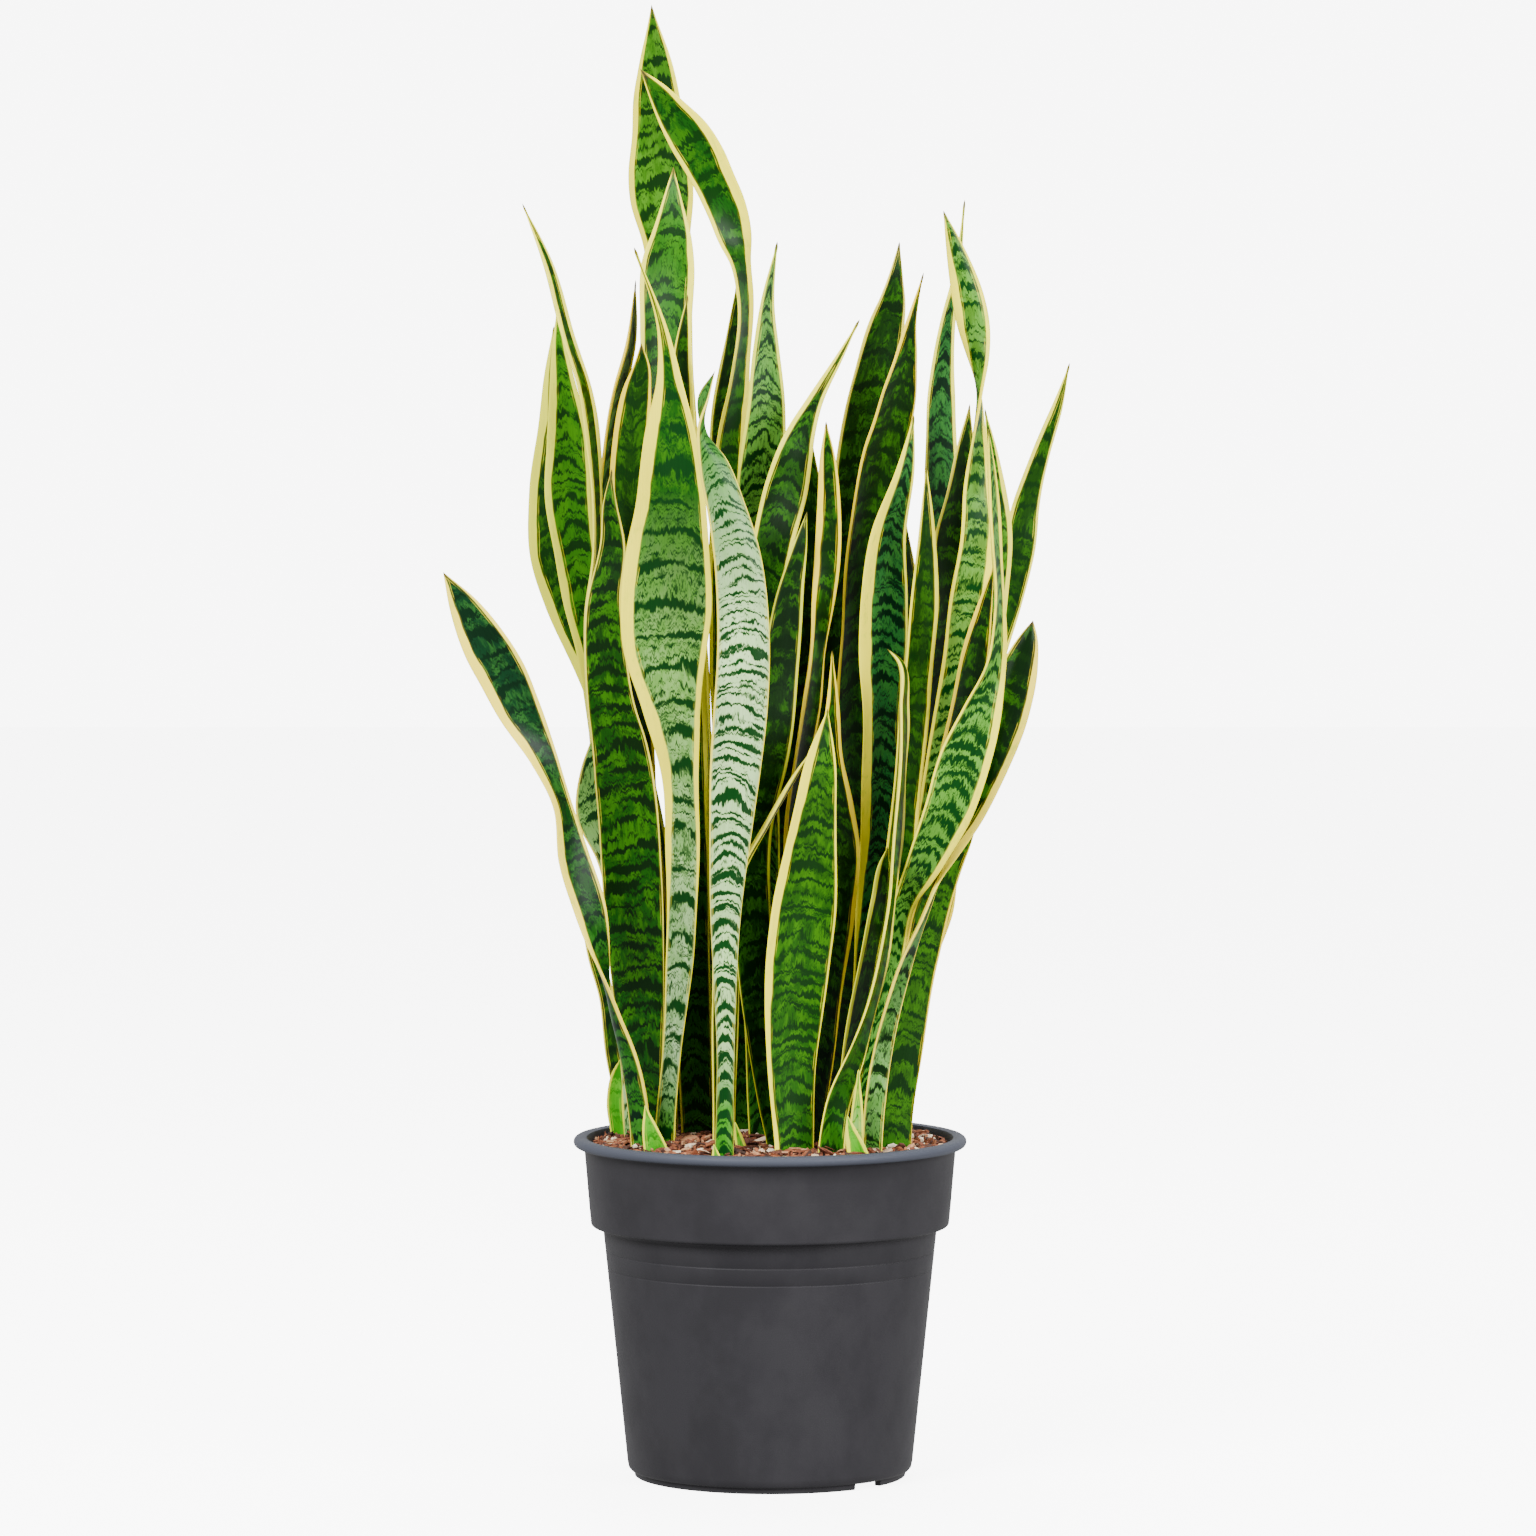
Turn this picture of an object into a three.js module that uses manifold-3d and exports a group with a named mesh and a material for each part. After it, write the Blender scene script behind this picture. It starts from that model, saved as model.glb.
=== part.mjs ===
// A potted snake plant: a collared nursery pot, filled with bark mix, and every leaf rooted in it.
// Millimetres, +Z up. The origin is on the pot's axis, on the surface that the pot stands on.
// +X is to the right and -Y is towards the front of the plant.

import * as THREE from 'three';
import { mergeVertices } from 'three/addons/utils/BufferGeometryUtils.js';
import Module from 'manifold-3d';

const wasm = await Module();
wasm.setup();

// ---- Driving dimensions -------------------------------------------------------------------

const rimRadius = 135;        // outside of the rolled lip
const potHeight = 234;        // ground to the top of the lip
const lipHeight = 7;          // depth of the rolled lip
const lipWidth = 7.4;         // how far the lip stands out past the collar
const collarHeight = 61;      // lip top down to the shoulder under the collar
const collarTaper = 4.5;      // how much narrower the collar is at its foot
const shoulderStep = 8.5;     // how far the body steps in under the collar
const bodyTaper = 16.5;       // how much narrower the body is at the foot
const footHeight = 4;         // the standing ring under the floor
const footSetBack = 5;        // how far the ring sits in from the body's foot
const footWidth = 5;          // width of the standing ring
const wall = 2.2;             // moulded wall
const shoulderDrop = 0.6;     // how far below the outside shoulder the inside one starts
const shoulderRise = 3.4;     // how far above the outside shoulder the inside one ends
const mouthBevel = 2;         // the slope from the lip down to the inside of the collar
const floorThickness = 3;
const centrePadRadius = 14;   // moulded pad under the middle of the floor, level with the ring
const notchWidth = 25;        // drain notches in the standing ring
const notchPitch = 95;        // degrees from one notch to the next
const firstNotch = 46;        // degrees from the front, towards +X
const notchCount = 3;
const drainHoleRadius = 5;
const drainHoleCount = 4;
const drainHoleCircle = 62;

const soilDepthBelowRim = 6;  // lip top down to the bark, at the soil's middle
const soilMound = 4;          // how much lower the bark lies at the wall
const moundFlat = 0.4;        // share of the bark's radius that is level
const moundShoulder = 0.8;    // share of its radius where it starts to fall away
const moundShoulderDrop = 0.35; // share of the mound lost by there
const rootedDepth = 24;       // how deep each leaf's foot goes into the bark

const grownBarkRadius = 125.4; // the bark's radius that the leaf table was set out for
const plantSpread = 1;        // plan size of the plant, against the size of its pot
const plantStretch = 1;       // height of the plant, against its grown height
const leafThickness = 3.4;    // a grown leaf at its middle
const clearance = 0.3;        // gap kept between pieces that touch

const roundSegments = 40;
const ringSpacing = 44;       // distance between cross-sections along a leaf

// ---- Sizes worked out from them -----------------------------------------------------------

const soilTop = potHeight - soilDepthBelowRim;
const collarTopRadius = rimRadius - lipWidth;
const collarFootRadius = collarTopRadius - collarTaper;
const bodyTopRadius = collarFootRadius - shoulderStep;
const bodyFootRadius = bodyTopRadius - bodyTaper;
const shoulderZ = potHeight - collarHeight;
const floorTop = footHeight + floorThickness;
const mouthZ = potHeight - mouthBevel;
const spread = plantSpread * (collarTopRadius - wall) / grownBarkRadius;

// ---- Helpers ------------------------------------------------------------------------------

// A closed solid from a geometry, with its shared vertices merged.
const solidOf = (geometry) => {
  const bare = geometry.clone();
  bare.deleteAttribute('normal');
  bare.deleteAttribute('uv');
  const merged = mergeVertices(bare, 1e-4);
  return new wasm.Manifold(new wasm.Mesh({
    numProp: 3,
    vertProperties: new Float32Array(merged.attributes.position.array),
    triVerts: new Uint32Array(merged.index.array),
  }));
};

// A geometry from a closed solid.
const geometryOf = (solid) => {
  const mesh = solid.getMesh();
  const geometry = new THREE.BufferGeometry();
  geometry.setAttribute('position', new THREE.BufferAttribute(new Float32Array(mesh.vertProperties), 3));
  geometry.setIndex(new THREE.BufferAttribute(new Uint32Array(mesh.triVerts), 1));
  geometry.computeVertexNormals();
  return geometry;
};

// A solid of revolution about Z from [radius, height] points that run from axis to axis.
const turned = (points) => {
  const profile = points.map(([radius, height]) => new THREE.Vector2(radius, height));
  const lathe = new THREE.LatheGeometry(profile, roundSegments);
  lathe.rotateX(Math.PI / 2);
  return lathe;
};

// ---- Pot ----------------------------------------------------------------------------------

const potProfile = () => [
  [0, 0],
  [centrePadRadius, 0],
  [centrePadRadius + 1, footHeight],
  [bodyFootRadius - footSetBack - footWidth, footHeight],
  [bodyFootRadius - footSetBack - footWidth, 0],
  [bodyFootRadius - footSetBack, 0],
  [bodyFootRadius - footSetBack + 0.5, footHeight],
  [bodyFootRadius - 1.6, footHeight + 1.2],
  [bodyFootRadius, footHeight + 6],
  [bodyTopRadius, shoulderZ - 3],
  [bodyTopRadius + 2, shoulderZ - 0.6],
  [collarFootRadius - 2, shoulderZ],
  [collarFootRadius, shoulderZ + 2],
  [collarTopRadius, potHeight - lipHeight],
  [rimRadius - 1.4, potHeight - lipHeight],
  [rimRadius, potHeight - lipHeight + 1.8],
  [rimRadius, potHeight - 1.8],
  [rimRadius - 1.8, potHeight],
  [collarTopRadius + 0.4, potHeight],
  [collarTopRadius - wall, mouthZ],
  [collarFootRadius - wall, shoulderZ + shoulderRise],
  [bodyTopRadius - wall, shoulderZ - shoulderDrop],
  [bodyFootRadius - wall, floorTop],
  [0, floorTop],
];

const potGeometry = () => {
  let solid = solidOf(turned(potProfile()));
  const ringRadius = bodyFootRadius - footSetBack - footWidth / 2;
  for (let i = 0; i < notchCount; i += 1) {
    const angle = THREE.MathUtils.degToRad(firstNotch + i * notchPitch);
    const notch = new THREE.BoxGeometry(notchWidth, footWidth * 3, footHeight * 2);
    notch.translate(0, -ringRadius, 0);
    notch.rotateZ(angle);
    solid = solid.subtract(solidOf(notch));
  }
  for (let i = 0; i < drainHoleCount; i += 1) {
    const angle = (i + 0.5) * 2 * Math.PI / drainHoleCount;
    const hole = new THREE.CylinderGeometry(drainHoleRadius, drainHoleRadius, floorThickness * 3, 16);
    hole.rotateX(Math.PI / 2);
    hole.translate(drainHoleCircle * Math.cos(angle), drainHoleCircle * Math.sin(angle), footHeight);
    solid = solid.subtract(solidOf(hole));
  }
  return geometryOf(solid);
};

// ---- Leaves -------------------------------------------------------------------------------

// Each row of a leaf is [height above the bark, x, y, width, turn]. The first is at the bark and the
// last is the tip. Turn is the way that the blade faces, in degrees: 0 faces the front, and 90 shows
// the front one edge. Facing turns the whole blade besides, towards +X when positive, and widens it
// by as much as the front then sees it foreshortened, so that width stays what the front sees. Cup is the depth of the blade's channel against its width: positive when the
// hollow side faces the front, negative when its back does.
const leafTable = [
  // Front of the clump.
  { name: 'leaf_front_banded', tone: 'pale', cup: -0.12, rows: [
    [0, -31, -90, 13, 0], [70, -30, -88, 12, 0], [166, -30, -86, 21, 0], [269, -23, -84, 35, 0],
    [337, -18, -84, 36, 0], [406, -22, -84, 32, 0], [470, -38, -86, 20, 18], [494, -46, -86, 14, 75],
    [514, -44, -84, 12, 125], [532, -37, -82, 0, 140]] },
  { name: 'leaf_front_herringbone', tone: 'green', cup: 0.09, facing: 20, rows: [
    [0, 16, -70, 26, 0], [64, 14, -70, 34, 0], [132, 18, -70, 44, 0], [166, 22, -70, 44, 0],
    [201, 26, -71, 37, 0], [269, 34, -72, 20, 0], [304, 39, -72, 0, 0]] },
  { name: 'leaf_front_speckled', tone: 'pale', cup: 0.11, facing: -20, rows: [
    [0, -72, -15, 14, 0], [64, -67, -20, 13, 0], [132, -61, -26, 19, 0], [201, -59, -32, 23, 0],
    [262, -61, -36, 27, 0], [303, -66, -38, 40, 0], [344, -70, -40, 58, 0], [371, -69, -41, 62, 0],
    [406, -68, -42, 58, 0], [440, -66, -43, 48, 0], [494, -67, -44, 33, 0], [526, -68, -44, 17, 0],
    [556, -72, -45, 8, 0], [615, -92, -47, 0, 0]] },
  { name: 'leaf_right_edge_on', tone: 'green', cup: 0.1, rows: [
    [0, 41, -78, 20, 18], [34, 45, -77, 20, 32], [74, 59, -74, 23, 60], [132, 75, -77, 26, 76],
    [201, 84, -77, 26, 78], [303, 90, -66, 22, 78], [336, 87, -64, 11, 76], [344, 79, -63, 0, 76]] },
  { name: 'leaf_right_cream_edged', tone: 'pale', cup: 0.1, rows: [
    [0, 60, -42, 13, 0], [64, 70, -42, 13, 0], [132, 84, -44, 13, 0], [166, 90, -52, 15, 5],
    [201, 105, -74, 25, 0], [235, 120, -84, 33, 0], [269, 131, -85, 35, 0], [303, 143, -84, 27, 10],
    [337, 152, -83, 20, 50], [371, 154, -82, 20, 68], [414, 152, -81, 18, 68], [464, 149, -80, 10, 60],
    [493, 147, -79, 0, 60]] },
  { name: 'leaf_right_twisted_low', tone: 'dark', cup: 0.1, rows: [
    [0, 69, -64, 14, 0], [64, 75, -66, 14, 10], [98, 82, -68, 14, 35], [132, 92, -68, 16, 55],
    [159, 103, -62, 20, 85], [187, 114, -56, 22, 95], [207, 122, -55, 25, 112], [235, 135, -57, 28, 138],
    [269, 148, -58, 31, 160], [303, 160, -58, 32, 170], [337, 171, -58, 22, 176], [354, 176, -58, 10, 178],
    [363, 178, -58, 0, 178]] },
  { name: 'leaf_right_olive', tone: 'green', cup: 0.09, facing: 30, rows: [
    [0, 85, -38, 21, 0], [64, 91, -36, 23, 0], [98, 96, -35, 24, 0], [166, 110, -33, 24, 0],
    [194, 121, -33, 20, 0], [212, 132, -34, 11, 0], [224, 141, -34, 0, 0]] },
  { name: 'leaf_right_olive_behind', tone: 'green', cup: 0.09, facing: -26, rows: [
    [0, 89, -8, 13, 0], [74, 95, -9, 15, 0], [132, 107, -10, 17, 0], [166, 121, -11, 11, 0],
    [181, 128, -12, 0, 0]] },
  { name: 'leaf_thin_crossing', tone: 'green', cup: 0.12, rows: [
    [0, -31, -72, 11, 60], [104, -30, -68, 13, 75], [189, -21, -64, 13, 80], [225, -2, -62, 12, 80],
    [259, 18, -60, 8, 80], [276, 29, -60, 0, 80]] },
  { name: 'leaf_short_hooked', tone: 'dark', cup: 0.1, facing: 38, rows: [
    [0, 49, -54, 14, 10], [64, 54, -54, 15, 10], [132, 66, -52, 15, 10], [174, 74, -48, 13, 10],
    [196, 77, -49, 8, 0], [209, 80, -50, 0, 0]] },
  { name: 'leaf_behind_herringbone', tone: 'dark', cup: 0.09, facing: 42, rows: [
    [0, 26, -44, 19, 0], [64, 29, -44, 26, 0], [132, 36, -44, 31, 0], [201, 43, -47, 34, 0],
    [235, 41, -48, 28, 0], [269, 40, -48, 18, 0], [303, 42, -49, 9, 0], [342, 42, -50, 0, 0]] },

  // Sheaths and young shoots at the bark.
  { name: 'sheath_left', tone: 'bright', cup: 0.16, rows: [
    [0, -77, -62, 17, 0], [19, -82, -62, 10, 0], [34, -85, -62, 0, 0]] },
  { name: 'sheath_front_small', tone: 'bright', cup: 0.16, rows: [
    [0, -36, -103, 8, 0], [12, -38, -103, 0, 0]] },
  { name: 'sheath_right', tone: 'bright', cup: 0.16, rows: [
    [0, 60, -88, 15, 0], [17, 55, -88, 9, 0], [30, 52, -88, 0, 0]] },
  { name: 'shoot_front_pale', tone: 'pale', cup: 0.14, rows: [
    [0, -19, -46, 8, 0], [12, -22, -46, 5, 0], [21, -24, -46, 0, 0]] },
  { name: 'shoot_right_pale', tone: 'pale', cup: 0.14, rows: [
    [0, 58, -76, 10, 0], [32, 59, -76, 8, 0], [60, 60, -76, 0, 0]] },
  { name: 'shoot_left_stub', tone: 'bright', cup: 0.16, rows: [
    [0, -105, 40, 10, 0], [26, -107, 40, 12, 0], [46, -105, 40, 8, 0], [56, -103, 40, 0, 0]] },

  // Left side.
  { name: 'leaf_left_reaching', tone: 'dark', cup: 0.1, rows: [
    [0, -88, -36, 14, 176], [34, -91, -37, 15, 160], [68, -98, -40, 16, 140], [94, -106, -44, 18, 112],
    [115, -111, -47, 21, 86], [140, -117, -49, 23, 55], [166, -123, -50, 25, 32], [201, -134, -52, 26, 34],
    [238, -142, -54, 20, 56], [269, -154, -56, 23, 36], [304, -171, -58, 30, 8], [326, -181, -60, 33, 0],
    [347, -193, -62, 31, 0], [374, -208, -64, 19, 0], [396, -221, -66, 0, 0]] },
  { name: 'leaf_left_broad_dark', tone: 'dark', cup: 0.09, facing: -18, rows: [
    [0, -82, 8, 17, 0], [64, -87, 4, 28, 0], [132, -91, 0, 39, 0], [235, -97, -5, 42, 0],
    [274, -102, -7, 38, 0], [303, -108, -8, 33, 0], [371, -113, -10, 24, 0], [414, -107, -11, 17, 0],
    [442, -109, -12, 9, 0], [464, -108, -12, 0, 0]] },
  { name: 'leaf_left_pale_behind', tone: 'pale', cup: 0.09, facing: -32, rows: [
    [0, -92, 22, 16, 0], [98, -94, 20, 22, 0], [166, -98, 16, 26, 0], [198, -106, 14, 27, 0],
    [226, -118, 12, 28, 0], [257, -117, 10, 24, 0], [280, -116, 9, 12, 0], [293, -118, 8, 0, 0]] },
  { name: 'leaf_left_low_dark', tone: 'dark', cup: 0.12, facing: -18, rows: [
    [0, -99, 55, 10, 0], [62, -109, 52, 11, 0], [98, -113, 50, 11, 0], [126, -121, 48, 10, 0],
    [153, -131, 46, 0, 0]] },
  { name: 'leaf_left_edge_on', tone: 'green', cup: 0.1, rows: [
    [0, -88, 40, 12, 62], [132, -106, 38, 15, 74], [254, -120, 32, 16, 78], [364, -125, 12, 17, 78],
    [406, -119, 8, 18, 75], [474, -121, 6, 18, 62], [517, -127, 4, 18, 60], [556, -139, 2, 15, 60],
    [604, -152, 0, 11, 55], [645, -169, -2, 0, 50]] },
  { name: 'leaf_left_striped', tone: 'green', cup: 0.1, rows: [
    [0, -80, 82, 20, 0], [132, -94, 74, 26, 0], [254, -108, 60, 28, 0], [337, -120, 48, 27, 0],
    [374, -129, 42, 28, 0], [406, -134, 38, 29, 0], [446, -139, 34, 32, 0], [480, -139, 31, 29, 0],
    [508, -141, 29, 22, 0], [549, -145, 27, 9, 0], [573, -146, 26, 0, 0]] },
  { name: 'leaf_left_striped_behind', tone: 'green', cup: 0.09, facing: -20, rows: [
    [0, -56, 94, 20, 0], [132, -72, 92, 26, 0], [254, -96, 84, 28, 0], [314, -116, 76, 29, 0],
    [371, -141, 68, 30, 0], [406, -151, 62, 30, 0], [446, -151, 58, 30, 0], [488, -148, 56, 24, 0],
    [525, -149, 54, 14, 0], [561, -149, 52, 0, 0]] },
  { name: 'leaf_left_rolled', tone: 'dark', cup: 0.14, rows: [
    [0, -90, 66, 16, 20], [132, -94, 58, 21, 32], [274, -104, 44, 24, 44], [371, -113, 34, 24, 56],
    [414, -115, 30, 22, 62], [474, -111, 26, 22, 64], [517, -104, 23, 20, 64], [549, -96, 21, 14, 62],
    [593, -92, 20, 0, 60]] },
  { name: 'leaf_left_diagonal_bands', tone: 'green', cup: 0.1, facing: -32, rows: [
    [0, -73, 56, 20, 0], [132, -80, 50, 24, 0], [274, -92, 24, 27, 0], [371, -91, 6, 27, 0],
    [414, -89, 2, 29, 0], [440, -94, 4, 28, 0], [486, -94, 0, 25, 0], [517, -90, -2, 19, 0],
    [536, -87, -3, 10, 0], [550, -88, -4, 0, 0]] },

  // Centre, from front to back.
  { name: 'leaf_centre_sway', tone: 'dark', cup: 0.08, facing: 26, rows: [
    [0, 8, -40, 21, 0], [74, -4, -41, 24, 0], [166, -13, -42, 26, 0], [214, -13, -42, 26, 0],
    [269, -1, -43, 26, 0], [334, 7, -44, 25, 0], [385, 14, -46, 17, 0], [412, 20, -46, 10, 0],
    [436, 25, -46, 0, 0]] },
  { name: 'leaf_centre_narrow_dark', tone: 'dark', cup: 0.12, facing: -22, rows: [
    [0, -69, 0, 9, 0], [64, -67, -2, 10, 0], [132, -62, -6, 12, 0], [262, -60, -14, 20, 0],
    [371, -60, -20, 24, 0], [494, -60, -24, 19, 0], [542, -59, -25, 13, 0], [583, -56, -26, 0, 0]] },
  { name: 'leaf_centre_leaning', tone: 'green', cup: 0.1, facing: 22, rows: [
    [0, -32, -24, 15, 0], [132, -30, -26, 20, 0], [254, -24, -27, 26, 0], [334, -14, -27, 29, 0],
    [382, -6, -25, 30, 0], [414, 1, -24, 28, 0], [454, 11, -22, 30, 0], [474, 16, -22, 25, 0],
    [487, 20, -21, 20, 0], [508, 29, -20, 12, 0], [542, 48, -19, 5, 0], [566, 61, -18, 0, 0]] },
  { name: 'leaf_centre_yellow_edged', tone: 'dark', cup: 0.1, rows: [
    [0, 12, -14, 18, 20], [132, 14, -17, 21, 40], [235, 17, -20, 23, 55], [303, 27, -24, 24, 60],
    [337, 31, -26, 22, 60], [371, 35, -28, 20, 40], [406, 39, -30, 18, 5], [440, 40, -30, 16, 0],
    [474, 39, -30, 10, 0], [497, 38, -30, 0, 0]] },
  { name: 'leaf_centre_bluish', tone: 'blue', cup: 0.09, facing: 20, rows: [
    [0, -4, 20, 22, 0], [174, -8, 12, 28, 0], [334, -10, 4, 32, 0], [434, -8, 0, 33, 0],
    [467, -6, -2, 32, 0], [508, -3, -4, 26, 0], [544, -3, -5, 18, 0], [576, -2, -6, 10, 0],
    [619, 5, -7, 0, 0]] },
  { name: 'leaf_centre_chevron', tone: 'green', cup: 0.09, facing: 22, rows: [
    [0, -50, 34, 23, 0], [98, -54, 30, 25, 0], [201, -56, 26, 27, 0], [337, -60, 22, 30, 0],
    [474, -69, 18, 32, 0], [564, -72, 15, 36, 0], [609, -70, 14, 34, 0], [624, -68, 13, 27, 0],
    [648, -67, 12, 13, 0], [670, -66, 12, 0, 0]] },
  { name: 'leaf_back_arching', tone: 'green', cup: 0.08, rows: [
    [0, -18, 50, 20, 20], [174, -24, 52, 26, 20], [374, -30, 50, 30, 30], [474, -28, 48, 30, 45],
    [524, -22, 46, 28, 60], [580, -18, 44, 26, 68], [604, -21, 43, 25, 55], [619, -24, 42, 26, 28],
    [641, -30, 40, 28, 10], [660, -38, 38, 29, 0], [676, -46, 36, 31, 0], [692, -56, 34, 30, 0],
    [707, -67, 32, 23, 0], [724, -79, 30, 12, 0], [737, -89, 29, 0, 0]] },
  { name: 'leaf_back_narrow_dark', tone: 'dark', cup: 0.1, facing: -32, rows: [
    [0, -12, 78, 18, 0], [174, -20, 80, 22, 0], [374, -28, 78, 22, 0], [488, -31, 74, 20, 0],
    [529, -27, 72, 16, 0], [554, -24, 71, 12, 0], [590, -23, 70, 0, 0]] },
  { name: 'leaf_back_tallest', tone: 'bright', cup: 0.08, facing: -44, rows: [
    [0, -34, 90, 22, 0], [174, -46, 94, 26, 0], [374, -58, 96, 28, 0], [574, -68, 96, 30, 0],
    [614, -70, 95, 33, 0], [650, -73, 94, 44, 0], [666, -74, 94, 44, 0], [692, -75, 93, 39, 0],
    [719, -77, 92, 33, 0], [739, -78, 92, 24, 0], [783, -82, 91, 0, 0]] },

  { name: 'leaf_back_centre_dark', tone: 'dark', cup: 0.09, facing: 26, rows: [
    [0, 4, 102, 20, 0], [200, 14, 106, 30, 0], [380, 24, 106, 32, 0], [440, 27, 105, 20, 0],
    [482, 29, 104, 0, 0]] },
  { name: 'leaf_back_right_dark', tone: 'dark', cup: 0.09, facing: 46, rows: [
    [0, 38, 94, 20, 0], [200, 64, 98, 28, 0], [330, 86, 100, 27, 0], [384, 92, 100, 18, 0],
    [424, 95, 100, 0, 0]] },

  // Right side, from front to back.
  { name: 'leaf_right_yellow_edged', tone: 'green', cup: 0.1, facing: 28, rows: [
    [0, 66, -20, 15, 0], [104, 74, -22, 18, 0], [201, 88, -27, 20, 0], [303, 98, -32, 21, 5],
    [371, 104, -35, 20, 5], [419, 106, -37, 13, 5], [467, 106, -38, 0, 0]] },
  { name: 'leaf_right_dark_low', tone: 'dark', cup: 0.1, facing: 36, rows: [
    [0, 81, -20, 12, 0], [104, 94, -18, 15, 0], [201, 109, -18, 20, 0], [269, 125, -27, 22, 0],
    [303, 132, -32, 22, 0], [337, 138, -38, 19, 0], [371, 145, -41, 11, 0], [400, 152, -44, 0, 0]] },
  { name: 'leaf_right_bluish', tone: 'blue', cup: 0.09, facing: 24, rows: [
    [0, 62, 0, 19, 0], [114, 68, -4, 24, 0], [235, 74, -8, 28, 10], [303, 75, -13, 30, 12],
    [337, 76, -15, 34, 5], [374, 77, -17, 33, 0], [419, 80, -19, 24, 0], [464, 92, -21, 12, -10],
    [501, 98, -22, 0, -10]] },
  { name: 'leaf_right_pale_edged', tone: 'green', cup: 0.09, facing: 46, rows: [
    [0, 42, 20, 22, 0], [174, 52, 15, 27, 0], [334, 60, 12, 29, 0], [406, 65, 11, 29, 0],
    [440, 69, 10, 29, 0], [474, 76, 10, 28, 0], [494, 82, 9, 27, 0], [515, 87, 9, 25, 0],
    [539, 92, 9, 16, 0], [563, 96, 9, 7, 0], [598, 105, 8, 0, 0]] },
  { name: 'leaf_right_mottled_twist', tone: 'pale', cup: 0.09, rows: [
    [0, 84, 8, 17, 0], [174, 105, 4, 22, 0], [269, 119, 0, 23, 0], [334, 131, -4, 26, 0],
    [374, 136, -6, 27, 0], [414, 142, -7, 26, 10], [454, 142, -7, 24, 32], [486, 142, -7, 22, 62],
    [514, 143, -7, 20, 90], [542, 141, -7, 22, 138], [564, 138, -7, 23, 165], [580, 135, -7, 22, 175],
    [607, 128, -7, 15, 180], [624, 123, -7, 8, 180], [640, 118, -7, 0, 180]] },
  { name: 'leaf_right_pale_green', tone: 'bright', cup: 0.1, facing: 44, rows: [
    [0, 90, 24, 12, 0], [98, 95, 23, 15, 0], [174, 113, 20, 17, 0], [274, 136, 18, 19, 0],
    [337, 146, 16, 20, 0], [371, 152, 15, 20, 0], [414, 156, 14, 18, 0], [440, 155, 14, 15, 0], [471, 152, 13, 9, 0],
    [505, 147, 12, 0, 0]] },
  { name: 'leaf_right_dark_upright', tone: 'dark', cup: 0.1, facing: 40, rows: [
    [0, 82, 42, 16, 0], [174, 100, 38, 21, 0], [334, 121, 32, 26, 0], [371, 125, 30, 26, 0],
    [414, 124, 28, 25, 0], [444, 129, 27, 20, 0], [474, 133, 26, 13, 0], [508, 137, 25, 0, 0]] },
  { name: 'leaf_right_broad_dark', tone: 'dark', cup: 0.09, facing: 28, rows: [
    [0, 28, 64, 23, 0], [174, 40, 62, 28, 0], [334, 50, 58, 32, 0], [414, 56, 54, 32, 0],
    [474, 61, 52, 31, 0], [509, 67, 50, 31, 0], [529, 72, 49, 30, 0], [564, 80, 47, 24, 0],
    [580, 84, 46, 18, 0], [594, 86, 45, 11, 0], [619, 89, 44, 0, 0]] },
  { name: 'leaf_right_bluish_tall', tone: 'blue', cup: 0.1, facing: 40, rows: [
    [0, 64, 76, 18, 0], [174, 90, 72, 22, 0], [334, 111, 64, 23, 0], [414, 117, 60, 23, 0],
    [474, 117, 57, 23, 0], [509, 117, 56, 20, 0], [529, 118, 55, 16, 0], [564, 122, 53, 11, 0],
    [594, 128, 52, 6, 0], [648, 134, 50, 0, 0]] },
  { name: 'leaf_right_far', tone: 'green', cup: 0.1, facing: 32, rows: [
    [0, 88, 61, 14, 0], [98, 93, 60, 17, 0], [166, 109, 57, 19, 0], [224, 127, 54, 20, 0],
    [274, 140, 50, 21, 0], [337, 151, 47, 23, 0], [371, 162, 45, 23, 0], [406, 170, 43, 23, 0],
    [440, 176, 42, 19, 0], [474, 186, 40, 13, 0], [508, 198, 38, 7, 0], [536, 206, 36, 0, 0]] },
];

const tones = { dark: 0x2a5a16, green: 0x3f7a26, bright: 0x5b9a2c, pale: 0xa9c39a, blue: 0x2f5f4a };

// Where the six corners of a blade's section lie, edge to edge: across, as a share of the half width,
// and through, as a share of the half thickness, with the front of the blade negative.
const bladeSection = [[-1, 0], [-0.45, -1], [0.45, -1], [1, 0], [0.45, 1], [-0.45, 1]];
const channelCentre = 0.35;   // where a channelled blade crosses its own spine
const tipShare = 0.35;        // thickness against width where a blade is narrow
const narrowest = 2;          // a blade never gets narrower than this before its tip
// A socket is a leaf grown by this many clearances on each sharp edge, and by this many on each face,
// which leaves the clearance itself between the slanting faces.
const edgeAllowance = 5;
const faceAllowance = 2;

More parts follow.
